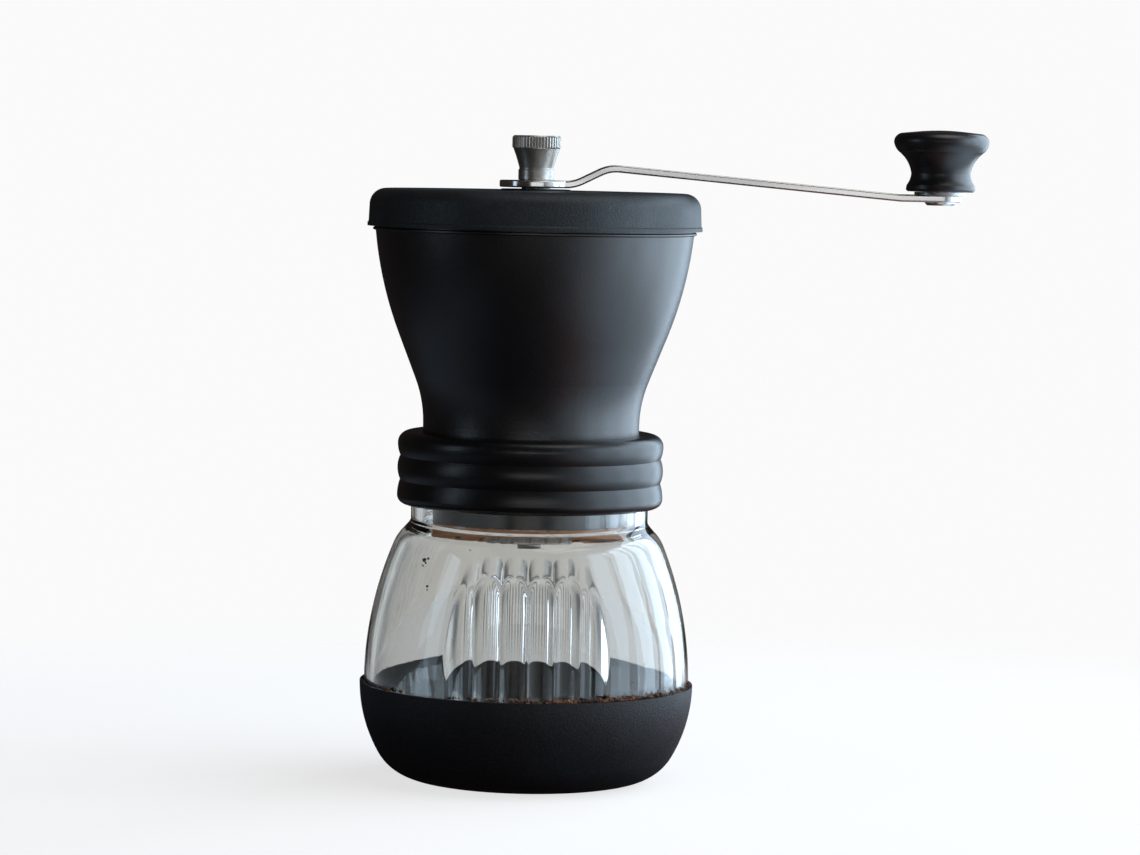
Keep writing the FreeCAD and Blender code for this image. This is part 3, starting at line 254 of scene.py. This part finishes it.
def ramp(tree, value, low, high, clamp=True):
    """Maps a value's range low..high to 0..1, smoothly."""
    node = tree.nodes.new("ShaderNodeMapRange")
    node.interpolation_type = "SMOOTHSTEP"
    node.clamp = clamp
    tree.links.new(value, node.inputs["Value"])
    for name, number in (("From Min", low), ("From Max", high)):
        if isinstance(number, (int, float)):
            node.inputs[name].default_value = number
        else:
            tree.links.new(number, node.inputs[name])
    return node.outputs["Result"]


def noise(tree, place, scale, detail=3.0, roughness=0.5):
    """Noise at a place; returns its value."""
    node = tree.nodes.new("ShaderNodeTexNoise")
    node.inputs["Detail"].default_value = detail
    node.inputs["Roughness"].default_value = roughness
    if isinstance(scale, (int, float)):
        node.inputs["Scale"].default_value = scale
    else:
        tree.links.new(scale, node.inputs["Scale"])
    tree.links.new(place, node.inputs["Vector"])
    return node.outputs["Fac"]


def object_place(tree):
    """The object's own coordinates."""
    return tree.nodes.new("ShaderNodeTexCoord").outputs["Object"]


def make_grain():
    """Fine moulded grain: a height for bump and a slight unevenness for roughness."""
    group, entry, leave = new_group(
        "moulded_grain",
        (("Scale", 4000.0), ("Unevenness", 0.05), ("Base Roughness", 0.4)),
        (("Height", "NodeSocketFloat"), ("Roughness", "NodeSocketFloat"), ("Grain", "NodeSocketFloat")),
    )
    place = object_place(group)
    fine = noise(group, place, entry.outputs["Scale"], 2.0)
    group.links.new(ramp(group, fine, 0.38, 0.62), leave.inputs["Grain"])
    broad = noise(group, place, 60.0, 4.0, 0.6)
    swing = math_node(group, "MULTIPLY", math_node(group, "SUBTRACT", broad, 0.5), 2.0)
    swing = math_node(group, "MULTIPLY", swing, entry.outputs["Unevenness"])
    group.links.new(fine, leave.inputs["Height"])
    uneven = math_node(group, "ADD", entry.outputs["Base Roughness"], swing, clamp=True)
    group.links.new(uneven, leave.inputs["Roughness"])
    return group


def make_dust():
    """A thin film and scattered specks of dust, as a mask."""
    group, entry, leave = new_group(
        "dust_film",
        (("Film", 0.2), ("Specks", 0.5), ("Speck Scale", 900.0)),
        (("Mask", "NodeSocketFloat"),),
    )
    place = object_place(group)
    film = ramp(group, noise(group, place, 35.0, 6.0, 0.65), 0.45, 0.75)
    film = math_node(group, "MULTIPLY", film, entry.outputs["Film"])
    speck = group.nodes.new("ShaderNodeTexVoronoi")
    group.links.new(place, speck.inputs["Vector"])
    group.links.new(entry.outputs["Speck Scale"], speck.inputs["Scale"])
    near = math_node(group, "LESS_THAN", speck.outputs["Distance"], 0.12)
    chosen = math_node(group, "GREATER_THAN", noise(group, place, 250.0, 2.0), 0.6)
    spots = math_node(group, "MULTIPLY", near, chosen)
    spots = math_node(group, "MULTIPLY", spots, entry.outputs["Specks"])
    group.links.new(math_node(group, "ADD", film, spots, clamp=True), leave.inputs["Mask"])
    return group


def make_residue():
    """Ground coffee that clings below a height: a clumpy mask with a ragged edge, and its height for bump."""
    group, entry, leave = new_group(
        "coffee_residue",
        (("Top", 0.072), ("Fade", 0.001), ("Cover", 1.0)),
        (("Mask", "NodeSocketFloat"), ("Height", "NodeSocketFloat")),
    )
    place = object_place(group)
    split = group.nodes.new("ShaderNodeSeparateXYZ")
    group.links.new(place, split.inputs["Vector"])
    clump = noise(group, place, 900.0, 4.0, 0.7)
    shift = math_node(group, "MULTIPLY", math_node(group, "SUBTRACT", clump, 0.5), 0.0016)
    edge = math_node(group, "ADD", split.outputs["Z"], shift)
    above = math_node(group, "ADD", entry.outputs["Top"], entry.outputs["Fade"])
    mask = math_node(group, "SUBTRACT", 1.0, ramp(group, edge, entry.outputs["Top"], above))
    bare = ramp(group, noise(group, place, 260.0, 3.0, 0.6), 0.3, 0.42)
    mask = math_node(group, "MULTIPLY", mask, bare)
    covered = math_node(group, "MULTIPLY", mask, entry.outputs["Cover"], clamp=True)
    group.links.new(covered, leave.inputs["Mask"])
    group.links.new(math_node(group, "MULTIPLY", clump, mask), leave.inputs["Height"])
    return group


GRAIN = make_grain()
DUST = make_dust()
RESIDUE = make_residue()


def place_group(tree, group, **values):
    """Puts a group in a material with its own values; spaces in socket names are underscores here."""
    node = tree.nodes.new("ShaderNodeGroup")
    node.node_tree = group
    for name, value in values.items():
        node.inputs[name.replace("_", " ")].default_value = value
    return node


def mix_colour(tree, mask, first, second):
    """Mixes two colours (or colour sockets) by a mask; returns the result."""
    node = tree.nodes.new("ShaderNodeMix")
    node.data_type = "RGBA"
    if isinstance(mask, (int, float)):
        node.inputs["Factor"].default_value = mask
    else:
        tree.links.new(mask, node.inputs["Factor"])
    for name, value in (("A", first), ("B", second)):
        if isinstance(value, tuple):
            node.inputs[name].default_value = (*value, 1)
        else:
            tree.links.new(value, node.inputs[name])
    return node.outputs["Result"]


def new_material(name, **settings):
    """A Principled material with plain values; returns (material, tree, shader)."""
    material = bpy.data.materials.new(name)
    material.use_nodes = True
    shader = material.node_tree.nodes["Principled BSDF"]
    for label, value in settings.items():
        socket = shader.inputs[label.replace("_", " ")]
        socket.default_value = (*value, 1) if isinstance(value, tuple) and len(value) == 3 else value
    return material, material.node_tree, shader


def bump(tree, shader, height, strength, distance):
    """Feeds a height through a Bump node to the shader's normal."""
    node = tree.nodes.new("ShaderNodeBump")
    node.inputs["Strength"].default_value = strength
    node.inputs["Distance"].default_value = distance
    tree.links.new(height, node.inputs["Height"])
    tree.links.new(node.outputs["Normal"], shader.inputs["Normal"])


# ---------------------------------------------------------------- materials


# painted shade and highlight: the grain's pits are darkened as if in shade and its tops lightened as if lit
GRAIN_SHADE_AND_HIGHLIGHT = (0.55, 1.5)  # shares of a piece's colour in the pits of its grain and on the tops


def moulded(name, colour, roughness, grain_scale, grain_depth, film, specks, dust_colour, **settings):
    """Moulded plastic or rubber: grain with painted shade in its pits and a painted highlight on its tops,
    uneven gloss and a little dust.
    """
    material, tree, shader = new_material(name, **settings)
    grain = place_group(tree, GRAIN, Scale=grain_scale, Base_Roughness=roughness, Unevenness=0.06)
    dust = place_group(tree, DUST, Film=film, Specks=specks)
    # painted shade in the pits of the grain and a painted highlight on its tops, following the grain's height
    pits, tops = (tuple(share * c for c in colour) for share in GRAIN_SHADE_AND_HIGHLIGHT)
    shaded_grain = mix_colour(tree, grain.outputs["Grain"], pits, tops)
    tree.links.new(mix_colour(tree, dust.outputs["Mask"], shaded_grain, dust_colour), shader.inputs["Base Color"])
    tree.links.new(grain.outputs["Roughness"], shader.inputs["Roughness"])
    bump(tree, shader, grain.outputs["Height"], 0.35, grain_depth)
    return material


COFFEE = (0.62, 0.3, 0.15)  # fine grounds that cling under the mill


def with_residue(material, top, fade, cover=1.0):
    """Adds clinging ground coffee below a height to a moulded material."""
    tree = material.node_tree
    shader = tree.nodes["Principled BSDF"]
    residue = place_group(tree, RESIDUE, Top=top, Fade=fade, Cover=cover)
    plain = shader.inputs["Base Color"].links[0].from_socket
    tree.links.new(mix_colour(tree, residue.outputs["Mask"], plain, COFFEE), shader.inputs["Base Color"])
    gloss = shader.inputs["Roughness"].links[0].from_socket
    rougher = math_node(tree, "MAXIMUM", gloss, math_node(tree, "MULTIPLY", residue.outputs["Mask"], 0.9))
    tree.links.new(rougher, shader.inputs["Roughness"])
    return material


def glass_material():
    """Thick pressed glass with a faint smudge in its gloss and a shallow waviness."""
    material, tree, shader = new_material(
        "jar_glass",
        Base_Color=(0.96, 0.975, 0.97),
        Transmission_Weight=1.0,
        IOR=1.5,
        Specular_IOR_Level=0.5,
    )
    place = object_place(tree)
    smudge = ramp(tree, noise(tree, place, 28.0, 5.0, 0.6), 0.5, 0.8)
    tree.links.new(math_node(tree, "MULTIPLY", smudge, 0.05), shader.inputs["Roughness"])
    drawn = tree.nodes.new("ShaderNodeVectorMath")
    drawn.operation = "MULTIPLY"
    drawn.inputs[1].default_value = (1, 1, 0.05)
    tree.links.new(place, drawn.inputs[0])
    streaks = noise(tree, drawn.outputs["Vector"], 240.0, 2.0, 0.5)
    waves = noise(tree, place, 50.0, 1.0)
    height = math_node(tree, "ADD", waves, math_node(tree, "MULTIPLY", streaks, 0.3))
    bump(tree, shader, height, 0.2, 0.0006)
    return material


def steel_material(name, colour, roughness, ring_scale, ring_depth):
    """Turned or polished steel: fine rings about Z and uneven gloss."""
    material, tree, shader = new_material(name, Metallic=1.0)
    place = object_place(tree)
    wave = tree.nodes.new("ShaderNodeTexWave")
    wave.wave_type = "BANDS"
    wave.bands_direction = "Z"
    wave.inputs["Scale"].default_value = ring_scale
    wave.inputs["Distortion"].default_value = 1.5
    wave.inputs["Detail"].default_value = 3.0
    tree.links.new(place, wave.inputs["Vector"])
    cloud = noise(tree, place, 120.0, 5.0, 0.6)
    cloudy = tuple(0.82 * c for c in colour)
    tree.links.new(mix_colour(tree, cloud, cloudy, colour), shader.inputs["Base Color"])
    uneven = math_node(tree, "MULTIPLY", wave.outputs["Fac"], 0.12)
    uneven = math_node(tree, "ADD", uneven, math_node(tree, "MULTIPLY", cloud, 0.1))
    tree.links.new(math_node(tree, "ADD", uneven, roughness - 0.1), shader.inputs["Roughness"])
    if ring_depth:
        bump(tree, shader, wave.outputs["Fac"], 0.3, ring_depth)
    return material


# moulded() takes colour, roughness, grain scale and depth, dust film, dust specks and the dust's colour
DUST_GREY = (0.08, 0.095, 0.108)
SATIN = {"Specular_IOR_Level": 0.85}
RIBBED = {"Specular_IOR_Level": 0.55}
MATERIALS = {
    "base_boot": moulded(
        "boot_rubber", (0.009, 0.0095, 0.011), 0.54, 2100.0, 0.0003, 0.1, 0.6, DUST_GREY
    ),
    "lid": moulded(
        "lid_rubber", (0.0105, 0.0155, 0.018), 0.5, 2100.0, 0.0003, 0.24, 0.8, DUST_GREY
    ),
    "hopper": moulded(
        "hopper_plastic", (0.0032, 0.003, 0.0036), 0.35, 3200.0, 0.00008, 0.02, 0.25, DUST_GREY, **SATIN
    ),
    "mill_body": with_residue(
        moulded(
            "mill_plastic", (0.004, 0.004, 0.0045), 0.31, 3200.0, 0.00008, 0.03, 0.25, DUST_GREY, **RIBBED
        ),
        0.0714,
        0.0004,
    ),
    "knob": moulded(
        "knob_plastic", (0.005, 0.005, 0.0055), 0.34, 7000.0, 0.00004, 0.03, 0.1, DUST_GREY, **SATIN
    ),
    "upper_bush": moulded(
        "bush_plastic", (0.55, 0.54, 0.5), 0.5, 5000.0, 0.00005, 0.1, 0.1, (0.3, 0.22, 0.15)
    ),
    "inner_burr": with_residue(
        moulded("burr_ceramic", (0.78, 0.75, 0.68), 0.45, 3000.0, 0.0001, 0.5, 0.6, (0.16, 0.08, 0.04)),
        0.08,
        0.02,
        0.8,
    ),
    "shaft": steel_material("turned_steel", (0.6, 0.6, 0.59), 0.28, 2400.0, 0.00004),
    "handle_nut": steel_material("nut_steel", (0.62, 0.6, 0.56), 0.3, 1800.0, 0.00005),
    "handle_arm": steel_material("polished_steel", (0.78, 0.775, 0.76), 0.2, 40.0, 0.0),
    "glass_jar": glass_material(),
}
SAME = {
    "knob_cap": "knob",
    "burr_retainer": "mill_body",
    "outer_burr": "inner_burr",
    "adjusting_nut": "upper_bush",
    "thrust_washer": "shaft",
    "shaft_circlip": "shaft",
    "spring_washer": "shaft",
    "burr_spring": "shaft",
    "lock_ring": "shaft",
    "knob_washer": "shaft",
    "knob_pin": "handle_arm",
}


def dress(node, material):
    """Gives a CAD node one material."""
    node.data.materials.clear()
    node.data.materials.append(material)


def crumb_material():
    """Coarsely ground roasted coffee: brown grains, some pale with chaff."""
    material, tree, shader = new_material("ground_coffee", Roughness=0.75)
    place = object_place(tree)
    tone = ramp(tree, noise(tree, place, 420.0, 3.0, 0.6), 0.35, 0.68)
    brown = mix_colour(tree, tone, (0.035, 0.013, 0.006), (0.3, 0.13, 0.06))
    tree.links.new(brown, shader.inputs["Base Color"])
    bump(tree, shader, noise(tree, place, 6000.0, 3.0), 0.5, 0.00005)
    return material


def add_crumb(mesh, chance, place, size):
    """One angular crumb: a small ball with every corner pushed in or out."""
    turn = Matrix.Rotation(chance.uniform(0, math.tau), 4, chance.choice("XYZ"))
    stretch = Matrix.Diagonal((*[size * chance.uniform(0.7, 1.3) for _ in "xyz"], 1))
    matrix = Matrix.Translation(place) @ turn @ stretch
    made = bmesh.ops.create_icosphere(mesh, subdivisions=1, radius=0.5, matrix=matrix)
    for vertex in made["verts"]:
        vertex.co += (vertex.co - Vector(place)) * chance.uniform(-0.3, 0.25)


# loose crumbs on the rim: degrees from, to, how many, size in mm
RIM_ARCS = ((-34, 92, 190, 1.25), (4, 60, 420, 1.0), (-75, -40, 30, 1.0))

# crumbs that cling inside the glass: degrees from the front, height and size in mm
GLASS_SPECKS = (
    (-50.5, 62.4, 1.1),
    (-49.0, 61.7, 0.9),
    (-48.2, 62.9, 0.7),
    (-50.0, 60.9, 0.5),
    (-44.5, 55.8, 0.8),
    (-44.0, 54.9, 0.5),
    (-27.0, 66.0, 0.35),
    (34.0, 40.0, 0.35),
    (48.0, 36.0, 0.4),
    (42.0, 31.5, 0.55),
)

# fine specks inside the glass, on both sides of the front grip
FINE_SPECKS, FINE_SIZE = 60, 0.0003
FINE_LOW, FINE_SPAN = 28, 34  # heights in mm
BESIDE_GRIP = 0.75  # radians from the front
FINE_INSET, FINE_SPREAD = 0.0032, 1.06


def around(turn, radius, height):
    """A place at an angle from the front, in radians and metres."""
    return (radius * math.sin(turn), -radius * math.cos(turn), height)


def make_crumbs():
    """Loose coffee on the ledge between the glass and the boot's rim, densest at the front right."""
    chance = random.Random(11)
    rim_radius, _, rim_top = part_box("base_boot")[1]
    mesh = bmesh.new()
    for start, end, count, size in RIM_ARCS:
        for _ in range(count):
            turn = math.radians(chance.triangular(start, end, 0.5 * (start + end)))
            grain = 0.001 * size * chance.uniform(0.25, 0.95)
            radius = rim_radius - 0.0012 + chance.uniform(-0.0002, 0.0007) - grain * 0.3
            height = rim_top + grain * chance.uniform(0.2, 0.9)
            add_crumb(mesh, chance, around(turn, radius, height), grain)
    jar_size = (WALL, 1000 * rim_radius - SKIN, 1000 * rim_top)
    for degrees, height, size in GLASS_SPECKS:
        radius = 0.001 * jar_radius(height, *jar_size) - 0.0002 * size
        add_crumb(mesh, chance, around(math.radians(degrees), radius, 0.001 * height), 0.001 * size)
    for _ in range(FINE_SPECKS):
        turn = math.radians(chance.uniform(-90, 90))
        height = FINE_LOW + FINE_SPAN * chance.random() ** 1.6
        radius = FINE_SPREAD * (0.001 * jar_radius(height, *jar_size) - FINE_INSET)
        if abs(turn) > BESIDE_GRIP:
            grain = FINE_SIZE * chance.uniform(0.5, 1.0)
            add_crumb(mesh, chance, around(turn, radius, 0.001 * height), grain)
    bmesh.ops.recalc_face_normals(mesh, faces=mesh.faces)
    data = bpy.data.meshes.new("coffee_crumbs")
    mesh.to_mesh(data)
    mesh.free()
    crumbs = bpy.data.objects.new("coffee_crumbs", data)
    bpy.context.collection.objects.link(crumbs)
    data.materials.append(crumb_material())
    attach(crumbs, "jar")
    return crumbs


# ---------------------------------------------------------------- the glass jar, in millimetres

WALL = 3.0  # glass
SKIN = 1.2  # rubber and the gap inside it
FLUTE_RADIUS = 6.5
FLUTE_TOP = 57.3  # height where the crests between flutes start
FLUTE_LEAN = math.tan(math.radians(4.0))
GRIP_RADIUS, GRIP_WALL = 46.0, 1.8  # smooth inside of a grip
FLUTE_PITCH, FLUTE_CREST, EDGE_ANGLE = 10.3, 41.15, 23.8
ROUNDING = 0.3  # how far an edge of the glass is softened


def soft_min(first, second, width):
    """The smaller of two lengths, rounded where they meet."""
    near = max(width - abs(first - second), 0) / width
    return min(first, second) - near * near * width / 4


def jar_radius(z, inset, rim_radius, rim_height):
    """Radius of the plain turned jar at a height, moved inwards by inset."""
    if z < rim_height:
        return rim_radius - 38.8 + math.sqrt((38.8 - inset) ** 2 - (z - rim_height) ** 2)
    lean = math.radians(22.5)
    side_middle = rim_radius - 101
    shoulder_radius = side_middle + 89 * math.cos(lean)
    shoulder_height = rim_height + 89 * math.sin(lean)
    neck = 33 - inset
    if z < rim_height + (101 - inset) * math.sin(lean):
        return side_middle + math.sqrt((101 - inset) ** 2 - (z - rim_height) ** 2)
    rise = (12 - inset) ** 2 - (z - shoulder_height) ** 2
    shoulder = shoulder_radius + math.sqrt(rise) if rise > 0 else 0
    return -soft_min(-shoulder, -neck, 2.4)


def flute_middles():
    """Polar place (distance, degrees from a grip's middle) of each flute's middle at the flutes' top."""
    half = FLUTE_CREST * math.sin(math.radians(FLUTE_PITCH / 2))
    reach = FLUTE_CREST * math.cos(math.radians(FLUTE_PITCH / 2)) + math.sqrt(FLUTE_RADIUS**2 - half**2)
    step = math.radians(EDGE_ANGLE - 2 * FLUTE_PITCH)
    edge = FLUTE_CREST * math.cos(step) + math.sqrt(FLUTE_RADIUS**2 - (FLUTE_CREST * math.sin(step)) ** 2)
    inner = [(reach, n * FLUTE_PITCH) for n in (-1.5, -0.5, 0.5, 1.5)]
    return reach, [(edge, -EDGE_ANGLE), *inner, (edge, EDGE_ANGLE)]


GRIP_REACH, FLUTES = flute_middles()


def fluted(radius, turn, z):
    """The outer radius with the flutes cut in; turn is in radians from the nearest grip's middle."""
    for reach, degrees in FLUTES:
        x = reach * math.sin(math.radians(degrees))
        y = reach * math.cos(math.radians(degrees)) + (FLUTE_TOP - z) * FLUTE_LEAN
        away, off = math.hypot(x, y), turn - math.atan2(x, y)
        inside = FLUTE_RADIUS**2 - (away * math.sin(off)) ** 2
        if inside > 0 and math.cos(off) > 0:
            radius = soft_min(radius, away * math.cos(off) - math.sqrt(inside), ROUNDING)
    return radius


def gripped(radius, turn, z):
    """The inner radius, flattened behind a grip."""
    middle = GRIP_REACH - FLUTE_RADIUS - GRIP_WALL - GRIP_RADIUS + (FLUTE_TOP - z) * FLUTE_LEAN
    flat = middle * math.cos(turn) + math.sqrt(GRIP_RADIUS**2 - (middle * math.sin(turn)) ** 2)
    return soft_min(radius, flat, 1.5)


def thread_bead(angle, z, mouth):
    """How far the moulded thread stands out of the neck; angle is from +X, anticlockwise."""
    most = 0.0
    for lap in range(2):
        turns = angle / math.tau + lap
        if turns <= 1.25:
            rise = 1.15**2 - (z - (mouth - 13.5 + 5 * turns)) ** 2
            most = max(most, math.sqrt(rise) - 0.17) if rise > 0.03 else most
    return most


def jar_rows(rim_radius, rim_height, mouth):
    """(radius, height, side) from the outer pole up, over the lip and down inside to the inner pole."""
    foot = rim_radius - 38.8 + math.sqrt(26**2 - 13**2)  # middle of the foot's corner arc
    rows = [(10.0, SKIN, "foot"), (foot * 0.7, SKIN, "foot")]
    for step in range(9):
        turn = math.radians(90 - 60 * step / 9)
        rows.append((foot + 12.8 * math.cos(turn), 14 - 12.8 * math.sin(turn), "foot"))
    heights = [7.6 + (rim_height - 7.6) * n / 14 for n in range(14)]
    heights += [rim_height + (62 - rim_height) * n / 56 for n in range(56)]
    heights += [62 + 14 * n / 34 for n in range(34)] + [76 + 11.5 * n / 32 for n in range(32)]
    heights += [87.5, 89.0, 90.5, mouth - 1.0]
    rows += [(None, z, "out") for z in heights]
    rows += [(32 + math.cos(a), mouth - 1 + math.sin(a), "lip") for a in (0.4, 0.8, 1.2, math.pi / 2)]
    rows += [(30.0 + x, mouth - y, "lip") for x, y in ((0.5, 0.0), (0.15, 0.1), (0.0, 0.45))]
    heights = [mouth - 1.5, 84.0, 76.0] + [73 - 11 * n / 22 for n in range(22)]
    heights += [62 - (62 - rim_height) * n / 34 for n in range(34)]
    heights += [rim_height - (rim_height - 9.1) * n / 14 for n in range(15)]
    rows += [(None, z, "in") for z in heights]
    for step in range(1, 9):
        turn = math.radians(30 + 60 * step / 8)
        rows.append((foot + 9.8 * math.cos(turn), 14 - 9.8 * math.sin(turn), "base"))
    return rows + [(foot * 0.7, SKIN + WALL, "base"), (10.0, SKIN + WALL, "base")]


def jar_columns():
    """Angles from +X, anticlockwise, close together across both grips."""
    fine = [-35 + 0.5 * n for n in range(141)]
    coarse = [35 + 110 * n / 56 for n in range(1, 56)]
    quarter = [math.radians(a + 270) for a in fine] + [math.radians(a - 90) for a in coarse]
    return sorted(a % math.tau for a in quarter + [a + math.pi for a in quarter])


def jar_point(row, angle, rim_radius, rim_height, mouth):
    """One vertex of the jar, in metres."""
    radius, z, side = row
    turn = angle % math.pi - math.pi / 2  # from the nearest of -Y and +Y
    if side == "out":
        radius = jar_radius(z, 0, rim_radius, rim_height)
        radius = fluted(radius, turn, z) if abs(turn) < 0.7 and z < 70 else radius
        radius += thread_bead(angle, z, mouth) if z > 77 else 0
    elif side == "in":
        radius = gripped(jar_radius(z, WALL, rim_radius, rim_height), turn, z)
    return (0.001 * radius * math.cos(angle), 0.001 * radius * math.sin(angle), 0.001 * z)


def make_glass():
    """The jar as one smooth skin of fine quads, with fire-polished edges."""
    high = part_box("glass_jar")[1]
    rim_radius, mouth = 1000 * high[0], 1000 * high[2]
    rim_height = 1000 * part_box("base_boot")[1][2]
    rows, columns = jar_rows(rim_radius, rim_height, mouth), jar_columns()
    points = [jar_point(row, angle, rim_radius, rim_height, mouth) for row in rows for angle in columns]
    count, last = len(columns), len(rows) - 1
    faces = [
        (i * count + j, i * count + (j + 1) % count, (i + 1) * count + (j + 1) % count, (i + 1) * count + j)
        for i in range(last)
        for j in range(count)
    ]
    below, above = len(points), len(points) + 1
    points += [(0, 0, rows[0][1] / 1000), (0, 0, rows[-1][1] / 1000)]
    faces += [(below, (j + 1) % count, j) for j in range(count)]
    faces += [(above, last * count + j, last * count + (j + 1) % count) for j in range(count)]
    data = bpy.data.meshes.new("jar_glass_skin")
    data.from_pydata(points, [], faces)
    data.validate()
    for face in data.polygons:
        face.use_smooth = True
    glass = bpy.data.objects.new("jar_glass_skin", data)
    bpy.context.collection.objects.link(glass)
    data.materials.append(MATERIALS["glass_jar"])
    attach(glass, "jar")
    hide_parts("glass_jar")
    return glass


for name, node in nodes.items():
    dress(node, MATERIALS[SAME.get(name, name)])


make_glass()
make_crumbs()


# ---------------------------------------------------------------- finish

make_camera()
light_studio()
make_floor()
bpy.context.scene.view_settings.view_transform = "Standard"

bpy.context.view_layer.update()
